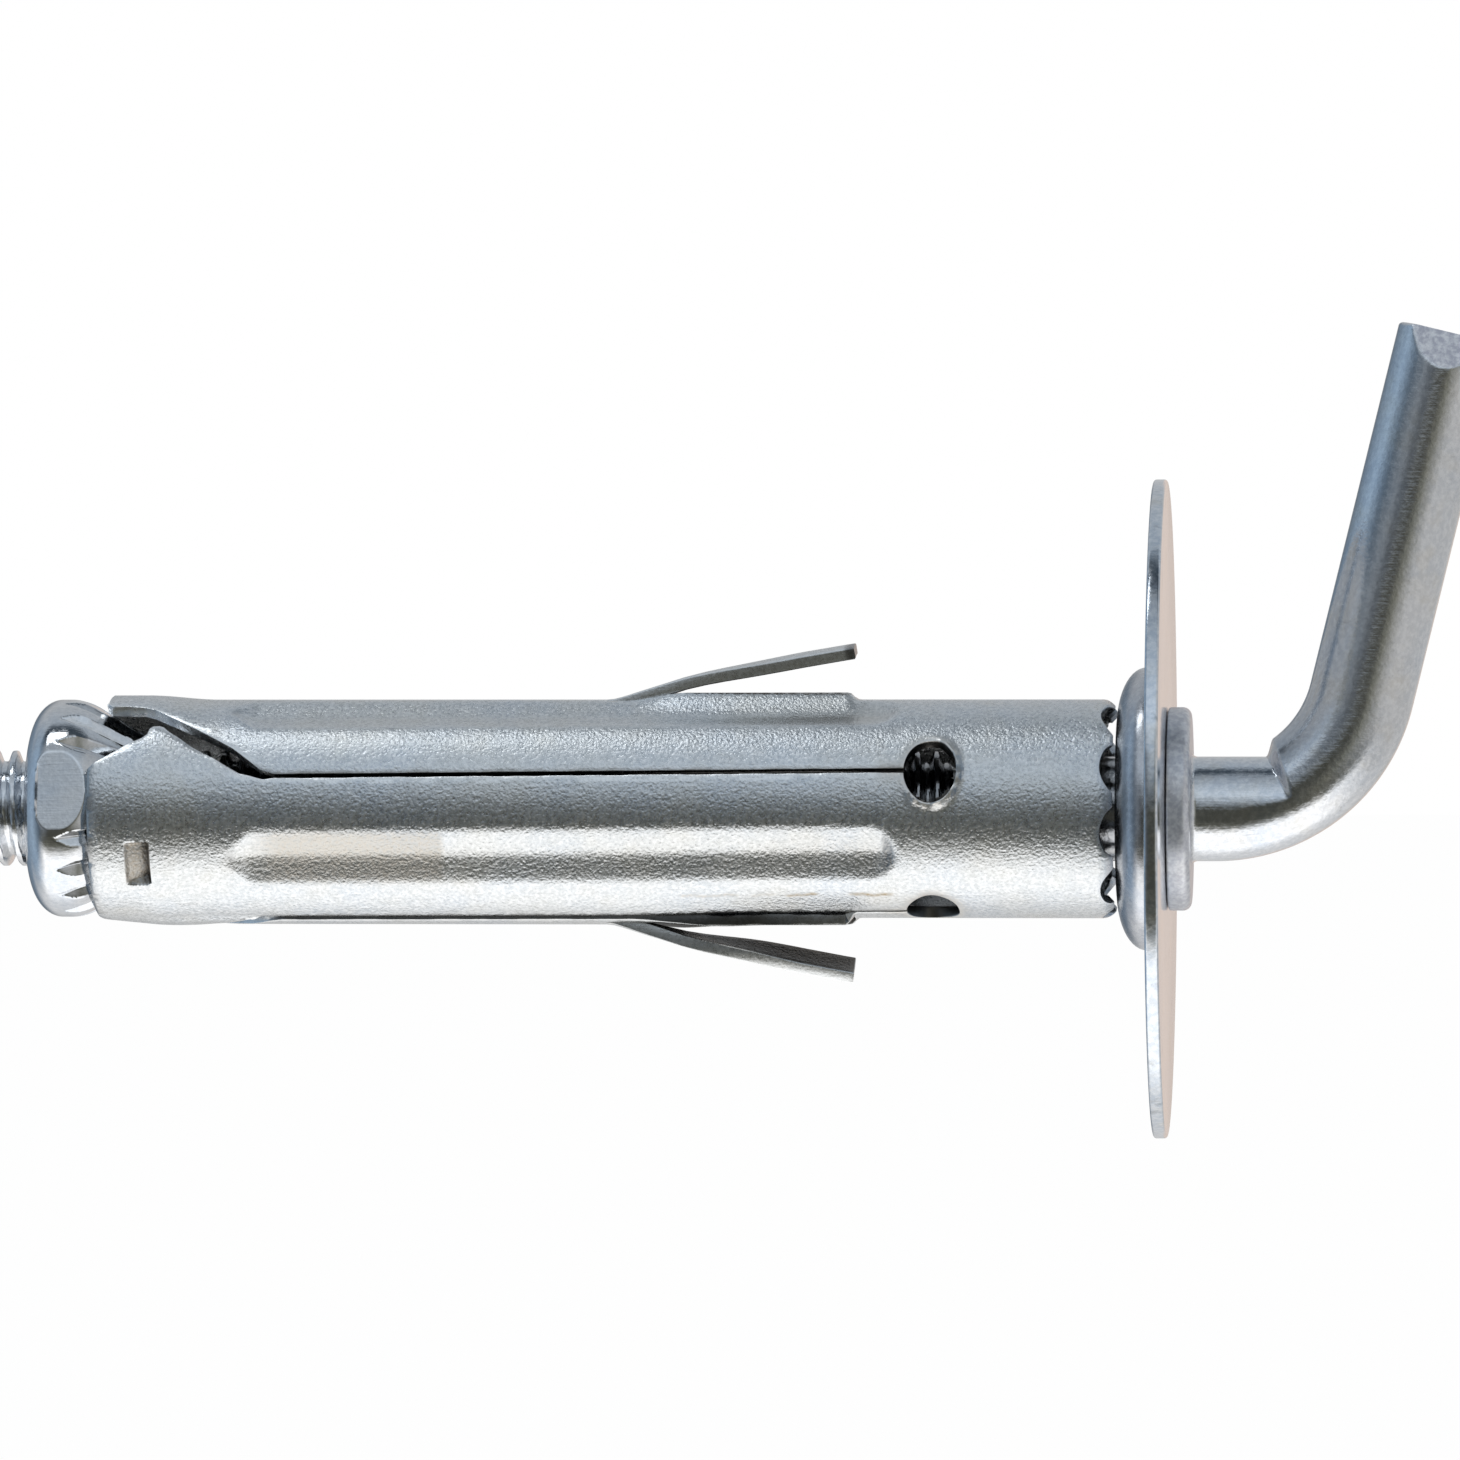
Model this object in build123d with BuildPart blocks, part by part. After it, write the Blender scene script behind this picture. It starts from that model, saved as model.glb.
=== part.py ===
"""Hook expansion anchor: a bent hook bolt draws a fluted cone nut into a slit sheet-steel sleeve.

Millimetres. The bolt's axis is X, from the cone nut to the hook, and the hook's leg rises along +Z.
The origin is on that axis, on the large washer's face that meets the wall.
A bearing is an angle round the axis: 0 faces -Y, 90 is the top.
"""

from build123d import *
from math import cos, radians, sin, tan
import os

# Running gaps and the overrun of every cut
face_gap = 0.04
seat_gap = 0.08
thread_gap = 0.05
overrun = 2.0

# Hook bolt
rod_d = 5.4
thread_d = 6.0
thread_end_gap = 0.8
rod_tail = 3.0
rod_chamfer = 0.6
collar_d = 10.5
collar_t = 1.2
collar_bevel = 0.4
collar_edge = 0.15
hook_reach = 8.54
bend_r = 7.7
leg_len = 25.2
leg_lean = 13.8
leg_edge = 0.2
tool_step = 5.42
shear_len = 1.9
shear_depth = 0.4

# Washers
washer_d = 34.0
washer_t = 0.7
washer_edge = 0.15
washer_bore = 6.4
dome_d = 14.6
dome_h = 1.85
dome_crown_d = 9.0
dome_sheet = 0.9
dome_rim = 0.35

# Expansion sleeve, rolled from sheet
sleeve_d = 11.3
sheet = 0.6
sleeve_len = 52.85
flare = 0.22
flare_from = 2.8
flare_to = 5.9
end_bevel = 0.3

# Slits, one every quarter turn, each ending in a keyhole
slit_bearing = 17.5
slit_count = 4
slit_w = 0.2
slit_from = 9.6
keyhole_from = 9.37
keyhole_len = 2.7
keyhole_w = 3.4
seam_w = 0.12

# Pressed grooves, one along each segment
groove_from = 7.0
groove_len = 34.8
groove_span = 31.0
groove_depth = 0.5
groove_taper = 2.0
groove_blunt = 0.9

# Mouth of the wide segment, beside its two slits, as lengths from the sleeve's end and bearings
tab_setback = 0.7
mouth_bearing = 40.0
segment_tip_from = 3.75
segment_tip_w = 0.7
segment_tip_bearing = 47.5
segment_neck_bearing = 38.5
segment_end_bearing = 21.9
slit_bend_from = 8.1
tab_root_from = 3.3
tab_root_bearing = 59.0
tab_bearing = 64.0

# Lanced dimple in the wide segment
lance_from = 2.0
lance_len = 1.15
lance_w = 2.4
lance_depth = 0.6
lance_lip = 0.15

# Barbs, tongues bent out of the two side segments
barb_bearing = 90.0
barb_w = 1.8
barb_tip_from = 13.57
barb_len = 12.1
barb_root = 1.6
barb_knee = 4.0
barb_knee_rise = 1.42
barb_rise = 3.06
barb_bend_r = 4.0
barb_gap = 0.08
barb_sink = 0.12

# Scallops round the sleeve's end
scallop_count = 10
scallop_bearing = 20.0
scallop_w = 2.8
scallop_depth = 0.7

# Cone nut
nut_d = 11.3
nut_band = 1.5
nut_crown = 1.25
nut_face_d = 7.2
cone_angle = 31.0
nose_d = 6.9
nut_shoulder = 0.5
flute_count = 20
flute_bearing = 2.0
flute_w = 0.9
flute_depth = 0.4
flat_bearing = 10.5
flat_span = 43.0

# Places along the axis
crown_x = -face_gap - dome_h
sleeve_end_x = crown_x - face_gap
mouth_x = sleeve_end_x - sleeve_len
tab_x = mouth_x + tab_setback
slit_x = mouth_x + slit_bend_from - slit_w / 2
keyhole_x = sleeve_end_x - keyhole_from
barb_tip_x = sleeve_end_x - barb_tip_from
barb_root_x = barb_tip_x - barb_len
collar_x = washer_t + face_gap
corner_x = washer_t + hook_reach

# Radii
sleeve_r = sleeve_d / 2
bore_r = sleeve_r - sheet
mouth_r = sleeve_r + flare
wall_mid_r = sleeve_r - sheet / 2
cut_r = mouth_r + overrun
seat_r = mouth_r - sheet - seat_gap
nut_r = nut_d / 2

# Bearings of the features
quarter_turn = 360 / slit_count
slit_bearings = [slit_bearing - i * quarter_turn for i in range(slit_count)]
wide_bearing = slit_bearing - quarter_turn / 2
groove_bearings = [wide_bearing + i * quarter_turn for i in range(slit_count)]
barb_bearings = [barb_bearing, barb_bearing + 180]


def radial(bearing):
    """Direction straight out from the axis at a bearing."""
    return Vector(0, -cos(radians(bearing)), sin(radians(bearing)))


def radial_plane(bearing):
    """Plane through the axis that faces outwards: x along the axis, y towards growing bearings."""
    return Plane(origin=(0, 0, 0), x_dir=(1, 0, 0), z_dir=radial(bearing))


def meridian_plane(bearing):
    """Plane that holds the axis and one bearing: x along the axis, y straight out."""
    return Plane(origin=(0, 0, 0), x_dir=(1, 0, 0), z_dir=Vector(1, 0, 0).cross(radial(bearing)))


def cross_plane(x):
    """Plane square to the axis at x."""
    return Plane(origin=(x, 0, 0), x_dir=(0, 1, 0), z_dir=(1, 0, 0))


os.makedirs("parts", exist_ok=True)

# Cone nut: domed big end, fluted cone, two flats
slope = tan(radians(cone_angle))
shoulder_x = mouth_x - (nut_r - seat_r) / slope
band_x = shoulder_x - nut_band
nut_face_x = band_x - nut_crown
nose_x = mouth_x + (seat_r - nose_d / 2) / slope
nut_bore_r = thread_d / 2 + thread_gap
flat_r = nut_r * cos(radians(flat_span / 2))


def flute_plane(bearing, x, r, dip):
    """Plane that looks along a flute's floor, dipping towards the axis by an angle."""
    along = Vector(1, 0, 0) * cos(radians(dip)) - radial(bearing) * sin(radians(dip))
    side = Vector(1, 0, 0).cross(radial(bearing))
    return Plane(origin=Vector(x, 0, 0) + radial(bearing) * r, x_dir=side, z_dir=along)


flute_bearings = [flute_bearing + i * 360 / flute_count for i in range(flute_count)]
entry_run = shoulder_x - band_x
entry_len = (entry_run**2 + flute_depth**2) ** 0.5
entry_dip = 90 - Vector(entry_run, flute_depth).get_angle(Vector(0, 1))
cone_run = (nose_x - shoulder_x) / cos(radians(cone_angle)) + overrun
entry_planes = [flute_plane(b, band_x, nut_r, entry_dip) for b in flute_bearings]
cone_planes = [flute_plane(b, shoulder_x, nut_r - flute_depth, cone_angle) for b in flute_bearings]

with BuildPart() as cone_nut:
    with BuildSketch(Plane.XZ) as nut_profile:
        with BuildLine():
            bore_line = Line((nut_face_x, nut_bore_r), (nose_x, nut_bore_r))
            nose_line = Line(bore_line @ 1, (nose_x, nose_d / 2))
            cone_line = Line(nose_line @ 1, (shoulder_x, nut_r))
            band_line = Line(cone_line @ 1, (band_x, nut_r))
            EllipticalCenterArc(
                (band_x, nut_face_d / 2),
                nut_crown,
                nut_r - nut_face_d / 2,
                start_angle=90,
                arc_size=90,
            )
            Line((nut_face_x, nut_face_d / 2), bore_line @ 0)
        make_face()
        shoulder = nut_profile.vertices().sort_by_distance((shoulder_x, nut_r))[0]
        chamfer(shoulder, nut_shoulder)
    revolve(axis=Axis.X)
    for planes, run in ((entry_planes, entry_len), (cone_planes, cone_run)):
        with BuildSketch(*planes):
            with BuildLine():
                Polyline(
                    (-overrun * flute_w / flute_depth / 2, -overrun),
                    (0, 0),
                    (overrun * flute_w / flute_depth / 2, -overrun),
                    close=True,
                )
            make_face()
        extrude(amount=run, mode=Mode.SUBTRACT)
    with BuildSketch(*[radial_plane(b).offset(flat_r) for b in (flat_bearing, flat_bearing + 180)]):
        with Locations(((nut_face_x + nose_x) / 2, 0)):
            Rectangle(nose_x - nut_face_x + overrun, nut_d)
    extrude(amount=overrun, mode=Mode.SUBTRACT)
cone_nut.part.label = "cone_nut"
export_step(cone_nut.part, "parts/cone_nut.step")

# Washers: a flat one against the wall, and a pressed cup between it and the sleeve
with BuildPart() as large_washer:
    with BuildSketch(cross_plane(0)):
        Circle(washer_d / 2)
        Circle(washer_bore / 2, mode=Mode.SUBTRACT)
    extrude(amount=washer_t)
    rim_edges = large_washer.edges().filter_by(GeomType.CIRCLE).group_by(SortBy.RADIUS)[-1]
    chamfer(rim_edges, washer_edge)
large_washer.part.label = "large_washer"
export_step(large_washer.part, "parts/large_washer.step")

with BuildPart() as domed_washer:
    with BuildSketch(Plane.XZ):
        with BuildLine():
            crown_line = Line((crown_x, washer_bore / 2), (crown_x, dome_crown_d / 2))
            EllipticalCenterArc(
                (-face_gap - dome_rim, dome_crown_d / 2),
                dome_h - dome_rim,
                (dome_d - dome_crown_d) / 2,
                start_angle=90,
                arc_size=90,
            )
            rim_line = Line((-face_gap - dome_rim, dome_d / 2), (-face_gap, dome_d / 2))
            foot_line = Line(rim_line @ 1, (-face_gap, dome_d / 2 - dome_sheet))
            inner_line = Line(foot_line @ 1, (crown_x + dome_sheet, dome_crown_d / 2))
            under_line = Line(inner_line @ 1, (crown_x + dome_sheet, washer_bore / 2))
            Line(under_line @ 1, crown_line @ 0)
        make_face()
    revolve(axis=Axis.X)
domed_washer.part.label = "domed_washer"
export_step(domed_washer.part, "parts/domed_washer.step")

# Hook bolt: threaded rod, upset collar and bent leg in one piece
rod_r = rod_d / 2
rod_end_x = nut_face_x - rod_tail
thread_end_x = sleeve_end_x - thread_end_gap
bend_turn = 90 - leg_lean
bend_x = corner_x - bend_r * tan(radians(bend_turn / 2))
leg_dir = Vector(sin(radians(leg_lean)), 0, cos(radians(leg_lean)))
leg_end = Vector(corner_x, 0, 0) + leg_dir * leg_len
shear_tilt = Vector(shear_len, shear_depth).get_angle(Vector(1, 0))
shear_plane = Plane(
    origin=leg_end - leg_dir * shear_len - Vector(0, rod_r, 0),
    x_dir=leg_dir.cross(Vector(0, 1, 0)),
    z_dir=Vector(0, -1, 0) * cos(radians(shear_tilt)) + leg_dir * sin(radians(shear_tilt)),
)

with BuildPart() as hook_bolt:
    with BuildSketch(Plane.XZ) as bolt_profile:
        with BuildLine():
            Polyline(
                (rod_end_x, 0),
                (rod_end_x, thread_d / 2 - rod_chamfer),
                (rod_end_x + rod_chamfer, thread_d / 2),
                (thread_end_x, thread_d / 2),
                (thread_end_x + thread_d / 2 - rod_r, rod_r),
                (collar_x, rod_r),
                (collar_x, collar_d / 2),
                (collar_x + collar_t, collar_d / 2),
                (collar_x + collar_t, rod_r),
                (bend_x, rod_r),
                (bend_x, 0),
                close=True,
            )
        make_face()
        corners = bolt_profile.vertices().sort_by_distance((collar_x + collar_t, collar_d / 2))
        chamfer(corners[0], collar_bevel)
        corners = bolt_profile.vertices().sort_by_distance((collar_x, collar_d / 2))
        chamfer(corners[0], collar_edge)
    revolve(axis=Axis.X)
    with BuildLine(Plane.XZ) as hook_path:
        bend = JernArc((bend_x, 0), (1, 0), bend_r, bend_turn)
        Line(bend @ 1, (leg_end.X, leg_end.Z))
    with BuildSketch(cross_plane(bend_x)):
        Circle(rod_r)
    sweep(path=hook_path.line)
    leg_top = hook_bolt.faces().sort_by_distance(leg_end)[0]
    chamfer(leg_top.edges(), leg_edge)
    with BuildSketch(cross_plane(bend_x)):
        with Locations((0, rod_d)):
            Rectangle(rod_d + overrun, 2 * rod_d)
        Circle(rod_r, mode=Mode.SUBTRACT)
    extrude(amount=washer_t + tool_step - bend_x, mode=Mode.SUBTRACT)
    with BuildSketch(shear_plane):
        with Locations((0, (shear_len + overrun) / 2)):
            Rectangle(rod_d, shear_len + overrun)
    extrude(amount=overrun, mode=Mode.SUBTRACT)
hook_bolt.part.label = "hook_bolt"
export_step(hook_bolt.part, "parts/hook_bolt.step")

# Expansion sleeve: grooves pressed in, barbs bent out, four slits, wide-ended segment
groove_half = sleeve_r * sin(radians(groove_span / 2))
groove_sag = groove_depth - sleeve_r * (1 - cos(radians(groove_span / 2)))
groove_r = (groove_sag**2 + groove_half**2) / (2 * groove_sag)
groove_axis_r = sleeve_r - groove_depth + groove_r
groove_x = mouth_x + groove_from
groove_end_x = groove_x + groove_len


def groove_tool(bearing, tool_r, lift):
    """Long round-bottomed punch beside the sleeve: pointed towards the mouth, blunt at its other end."""
    tip_y = groove_axis_r - tool_r + groove_depth + lift
    floor_y = groove_axis_r - tool_r
    with BuildSketch(meridian_plane(bearing)) as punch:
        with BuildLine():
            Polyline(
                (groove_x, groove_axis_r),
                (groove_x, tip_y),
                (groove_x + groove_taper, floor_y),
                (groove_end_x - groove_blunt, floor_y),
                (groove_end_x, tip_y),
                (groove_end_x, groove_axis_r),
                close=True,
            )
        make_face()
    return punch.sketch


def groove_axis(bearing):
    """Axis of the punch for one groove."""
    return Axis(radial(bearing) * groove_axis_r, (1, 0, 0))


with BuildPart() as groove_backs:
    for groove_bearing in groove_bearings:
        revolve(groove_tool(groove_bearing, groove_r + sheet, sheet / 4), axis=groove_axis(groove_bearing))
    with BuildSketch(cross_plane(mouth_x)):
        Circle(wall_mid_r)
    extrude(amount=sleeve_len, mode=Mode.INTERSECT)

lance_x = mouth_x + lance_from
lance_end_x = lance_x + lance_len
lance_plane = meridian_plane(wide_bearing)


def bent_out(bearing):
    """Path of a barb along the middle of the sheet, from its root in the wall to its tip."""
    root_y = wall_mid_r - barb_sink
    with BuildLine(meridian_plane(bearing)) as path:
        FilletPolyline(
            (barb_root_x - barb_root, root_y),
            (barb_root_x, root_y),
            (barb_root_x + barb_knee, root_y + barb_knee_rise),
            (barb_tip_x, root_y + barb_rise),
            radius=barb_bend_r,
        )
    return path.line


def mouth_outline(side):
    """Opening beside the wide segment: its edge, then the tab's edge back to the slit."""
    edge = (
        (slit_from, slit_bearing),
        (slit_bend_from, slit_bearing),
        (segment_tip_from, segment_tip_bearing),
        (segment_tip_from - segment_tip_w, segment_tip_bearing),
        (segment_tip_from - segment_tip_w, segment_neck_bearing),
        (0, segment_end_bearing),
        (-overrun, segment_end_bearing),
        (-overrun, tab_bearing),
        (tab_root_from, tab_bearing),
        (tab_root_from, tab_root_bearing),
    )
    return [(mouth_x + x, side * sleeve_r * sin(radians(b - mouth_bearing))) for x, b in edge]


tab_middle = (tab_bearing + slit_bearing + quarter_turn) / 2
tab_bearings = [tab_middle, 2 * wide_bearing - tab_middle]
tab_half_w = mouth_r * sin(radians(slit_bearing + quarter_turn - tab_middle))
scallop_bearings = [scallop_bearing + i * 360 / scallop_count for i in range(scallop_count)]
scallop_r = (scallop_depth**2 + (scallop_w / 2) ** 2) / (2 * scallop_depth)


with BuildPart() as expansion_sleeve:
    with BuildSketch(Plane.XZ):
        with BuildLine():
            Polyline(
                (mouth_x, mouth_r),
                (mouth_x + flare_from, mouth_r),
                (mouth_x + flare_to, sleeve_r),
                (sleeve_end_x, sleeve_r),
                (sleeve_end_x, bore_r),
                (mouth_x + flare_to, bore_r),
                (mouth_x + flare_from, mouth_r - sheet),
                (mouth_x, mouth_r - sheet),
                close=True,
            )
        make_face()
    revolve(axis=Axis.X)
    end_edges = expansion_sleeve.edges().filter_by(GeomType.CIRCLE).group_by(Axis.X)[-1]
    chamfer(end_edges.sort_by(SortBy.RADIUS)[-1], end_bevel)
    add(groove_backs.part)
    for groove_bearing in groove_bearings:
        punch_profile = groove_tool(groove_bearing, groove_r, 0)
        revolve(punch_profile, axis=groove_axis(groove_bearing), mode=Mode.SUBTRACT)
    with BuildSketch(lance_plane):
        with BuildLine():
            Polyline(
                (lance_x, mouth_r - sheet / 2),
                (lance_x, mouth_r - sheet),
                (lance_end_x + lance_lip, mouth_r - sheet - lance_depth),
                (lance_end_x + lance_lip, mouth_r - sheet / 2),
                close=True,
            )
        make_face()
    extrude(amount=lance_w / 2 + lance_lip, both=True)
    with BuildSketch(lance_plane):
        with BuildLine():
            Polyline(
                (lance_x, mouth_r + overrun),
                (lance_x, mouth_r - lance_lip),
                (lance_end_x, mouth_r - lance_depth),
                (lance_end_x, mouth_r + overrun),
                close=True,
            )
        make_face()
    extrude(amount=lance_w / 2, both=True, mode=Mode.SUBTRACT)
    with BuildSketch(*[radial_plane(b) for b in barb_bearings]):
        with Locations(((barb_root_x + barb_tip_x + barb_gap) / 2, 0)):
            Rectangle(barb_tip_x + barb_gap - barb_root_x, barb_w + 2 * barb_gap)
    extrude(amount=cut_r, mode=Mode.SUBTRACT)
    for tongue_bearing in barb_bearings:
        tongue_path = bent_out(tongue_bearing)
        root_plane = Plane(
            origin=tongue_path @ 0,
            x_dir=Vector(1, 0, 0).cross(radial(tongue_bearing)),
            z_dir=(1, 0, 0),
        )
        with BuildSketch(root_plane) as tongue_section:
            Rectangle(barb_w, sheet)
        sweep(tongue_section.sketch, path=tongue_path)
    with BuildSketch(*[radial_plane(b) for b in slit_bearings]):
        with Locations((keyhole_x, 0)):
            Ellipse(keyhole_len / 2, keyhole_w / 2)
        with Locations(((slit_x + keyhole_x) / 2, 0)):
            Rectangle(keyhole_x - slit_x, slit_w)
    extrude(amount=cut_r, mode=Mode.SUBTRACT)
    with BuildSketch(*[radial_plane(b) for b in slit_bearings[2:]]):
        with Locations((mouth_x + slit_from / 2, 0)):
            Rectangle(slit_from + overrun, slit_w)
    extrude(amount=cut_r, mode=Mode.SUBTRACT)
    with BuildSketch(radial_plane(slit_bearings[2])):
        with Locations(((keyhole_x + sleeve_end_x) / 2, 0)):
            Rectangle(keyhole_from + overrun, seam_w)
    extrude(amount=cut_r, mode=Mode.SUBTRACT)
    with BuildSketch(radial_plane(mouth_bearing)):
        with BuildLine():
            Polyline(*mouth_outline(1), close=True)
        make_face()
    extrude(amount=cut_r, mode=Mode.SUBTRACT)
    with BuildSketch(radial_plane(2 * wide_bearing - mouth_bearing)):
        with BuildLine():
            Polyline(*mouth_outline(-1), close=True)
        make_face()
    extrude(amount=cut_r, mode=Mode.SUBTRACT)
    with BuildSketch(*[radial_plane(b) for b in tab_bearings]):
        with Locations((tab_x - overrun / 2, 0)):
            Rectangle(overrun, 2 * tab_half_w)
    extrude(amount=cut_r, mode=Mode.SUBTRACT)
    with BuildSketch(*[radial_plane(b) for b in scallop_bearings]):
        with Locations((sleeve_end_x - scallop_depth + scallop_r, 0)):
            Circle(scallop_r)
    extrude(amount=cut_r, mode=Mode.SUBTRACT)
expansion_sleeve.part.label = "expansion_sleeve"
export_step(expansion_sleeve.part, "parts/expansion_sleeve.step")
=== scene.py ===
"""Dresses the packed hook expansion anchor: thread, rolled sleeve, fluted nut, zinc finish with painted shade
and edge highlights, white stage.
"""

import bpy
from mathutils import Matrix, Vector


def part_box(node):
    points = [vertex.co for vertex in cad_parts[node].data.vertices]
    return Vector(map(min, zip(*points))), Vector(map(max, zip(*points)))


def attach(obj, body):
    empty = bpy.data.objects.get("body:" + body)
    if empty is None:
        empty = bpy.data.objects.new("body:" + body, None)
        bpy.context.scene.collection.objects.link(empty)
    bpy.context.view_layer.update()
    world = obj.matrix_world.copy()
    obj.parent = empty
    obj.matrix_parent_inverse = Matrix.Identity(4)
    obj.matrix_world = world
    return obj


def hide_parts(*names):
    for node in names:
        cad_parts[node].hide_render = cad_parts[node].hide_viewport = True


bl_info = {
    "name": "Hook expansion anchor",
    "version": (1, 0, 0),
    "blender": (4, 5, 0),
    "location": "View3D > Sidebar > Anchor",
    "description": "Builds the visible pieces of a zinc-plated hook expansion anchor on its packed frame",
    "category": "Object",
}

import math

import bpy
import numpy as np
from mathutils import Vector, kdtree
from mathutils.geometry import delaunay_2d_cdt

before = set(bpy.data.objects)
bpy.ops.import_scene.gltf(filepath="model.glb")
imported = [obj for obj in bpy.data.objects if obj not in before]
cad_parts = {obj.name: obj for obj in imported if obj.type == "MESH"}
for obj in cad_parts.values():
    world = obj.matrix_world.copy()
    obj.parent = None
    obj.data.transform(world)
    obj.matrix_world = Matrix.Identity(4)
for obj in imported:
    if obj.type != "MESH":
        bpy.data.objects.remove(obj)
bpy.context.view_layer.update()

MM = 0.001
NUT_LOW, NUT_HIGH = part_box("cone_nut")
SLEEVE_LOW, SLEEVE_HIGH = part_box("expansion_sleeve")
HOOK_LOW, HOOK_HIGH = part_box("hook_bolt")
WASHER_LOW, WASHER_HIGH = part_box("large_washer")
CUP_LOW, CUP_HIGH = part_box("domed_washer")


def length(name, about, value):
    """A length property, in metres from a value in millimetres."""
    return bpy.props.FloatProperty(
        name=name, description=about, default=value * MM, unit="LENGTH", precision=5
    )


def turn(name, about, degrees):
    """An angle property from degrees."""
    return bpy.props.FloatProperty(
        name=name, description=about, default=math.radians(degrees), subtype="ANGLE"
    )


def tint(name, about, colour):
    """A colour property."""
    return bpy.props.FloatVectorProperty(
        name=name, description=about, default=colour, subtype="COLOR", size=3, min=0.0, max=1.0
    )


def number(name, about, value):
    """A plain number property."""
    return bpy.props.FloatProperty(name=name, description=about, default=value)


class AnchorHookSizes(bpy.types.PropertyGroup):
    """Sizes of the hook bolt."""

    rod_d: length("Rod diameter", "Plain rod, bend and leg", 5.4)
    thread_d: length("Thread diameter", "Over the thread's crests", 6.0)
    thread_depth: length("Thread depth", "From crest to root", 0.56)
    pitch: length("Pitch", "Travel of the nut in one turn", 1.0)
    thread_end: length("Thread end", "Where the thread runs out, before the washer's face", 2.73)
    rod_chamfer: length("End chamfer", "Chamfer at the rod's threaded end", 0.6)
    collar_d: length("Collar diameter", "Upset collar against the large washer", 10.5)
    collar_t: length("Collar thickness", "Thickness of the upset collar", 1.2)
    collar_from: length("Collar place", "From the washer's wall face to the collar", 0.74)
    collar_round: length("Collar round", "Rounded edge of the collar towards the hook", 0.45)
    corner: length("Corner", "From the washer's wall face to the corner of the bend", 9.24)
    bend_r: length("Bend radius", "At the middle of the rod", 7.7)
    leg: length("Leg length", "From the corner to the leg's end", 25.2)
    lean: turn("Leg lean", "Lean of the leg away from the wall", 13.8)
    tool_step: length("Tool step", "Step that the bending tool leaves inside the bend", 6.12)
    shear: length("Shear length", "Length of the sheared facet at the leg's end", 1.9)
    shear_depth: length("Shear depth", "Depth of the sheared facet", 0.9)


class AnchorWasherSizes(bpy.types.PropertyGroup):
    """Sizes of the two washers."""

    bore: length("Bore", "Hole of both washers", 6.4)
    edge: length("Rim edge", "Rounding of the large washer's rim", 0.15)
    crown_d: length("Crown diameter", "Flat crown of the cup washer", 9.0)
    rim: length("Cup rim", "Upright rim of the cup washer", 0.35)
    sheet: length("Cup sheet", "Sheet of the cup washer", 0.9)


class AnchorSleeveSizes(bpy.types.PropertyGroup):
    """Sizes of the rolled sleeve, lengths from its mouth."""

    outer_d: length("Outer diameter", "Rolled sleeve outside", 11.3)
    sheet: length("Sheet", "Thickness of the sheet", 0.6)
    edge: length("Edge round", "Rounding along every cut edge", 0.09)
    flare: length("Flare", "Flare at the mouth", 0.22)
    slit: length("Slit width", "Width of the long slits", 0.2)
    keyhole_from: length("Keyhole place", "Middle of the keyholes", 43.48)
    keyhole_l: length("Keyhole length", "Along the sleeve", 2.7)
    keyhole_w: length("Keyhole width", "Round the sleeve", 3.4)
    groove_from: length("Groove start", "Pointed end of the pressed grooves", 6.9)
    groove_l: length("Groove length", "Length of the pressed grooves", 34.9)
    groove_w: length("Groove width", "Width of the pressed grooves", 3.06)
    groove_d: length("Groove depth", "Depth of the pressed grooves", 0.43)
    barb_from: length("Barb root", "Where the barbs leave the wall", 26.5)
    barb_to: length("Barb tip", "Tip of the barbs", 39.28)
    barb_w: length("Barb width", "Width of the barbs", 1.8)
    barb_twist: turn("Barb twist", "Twist of the upper barb at its tip", 12.0)
    low_twist: turn("Lower barb twist", "Twist of the lower barb at its tip", 27.0)
    wind: turn("Wind", "Turn of the rolled sheet from its mouth to its end", 3.4)
    barb_ease: length("Barb ease", "How much lower the upper barb's tip stands", 0.17)
    burr: length("Keyhole burr", "Height of the ragged ridge round the front keyhole", 0.36)
    lip: length("Window lip", "Lift of the sheet beside the barbs", 0.42)
    spring: length("Spring", "How far the lower segment stands out", 0.36)
    spread: length("Spread", "How far the wide segment stands out beside it", 0.24)


class AnchorNutSizes(bpy.types.PropertyGroup):
    """Sizes of the fluted cone nut."""

    outer_d: length("Outer diameter", "Over the nut's band", 11.3)
    bore_d: length("Bore", "Hole round the thread", 6.1)
    face_d: length("Face diameter", "Flat face round the rod", 7.2)
    crown: length("Crown", "Height of the domed end", 1.55)
    nose_d: length("Nose diameter", "Small end of the cone", 6.9)
    cone: turn("Cone angle", "Slope of the cone", 31.0)
    shoulder: length("Shoulder", "Rounded length between band and cone", 0.7)
    flutes: bpy.props.IntProperty(name="Flutes", description="Flutes round the cone", default=20, min=6)
    flute_w: length("Flute width", "Width of a flute at its top", 0.9)
    flute_d: length("Flute depth", "Depth of a flute", 0.4)


class AnchorFinish(bpy.types.PropertyGroup):
    """Colours of the zinc plate."""

    zinc: tint("Zinc", "Bright zinc plate", (0.66, 0.67, 0.685))
    cool: tint("Cool tint", "Bluish passivation", (0.52, 0.59, 0.68))
    warm: tint("Warm tint", "Faint yellow passivation", (0.66, 0.59, 0.46))
    # Near-black tint of the fine scratches and of the painted shade inside the sleeve, on the thread within
    # it and on the collar.
    grime: tint("Grime", "Dark residue in corners", (0.06, 0.055, 0.05))
    gloss: number("Roughness", "Roughness of the plate", 0.27)


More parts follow.
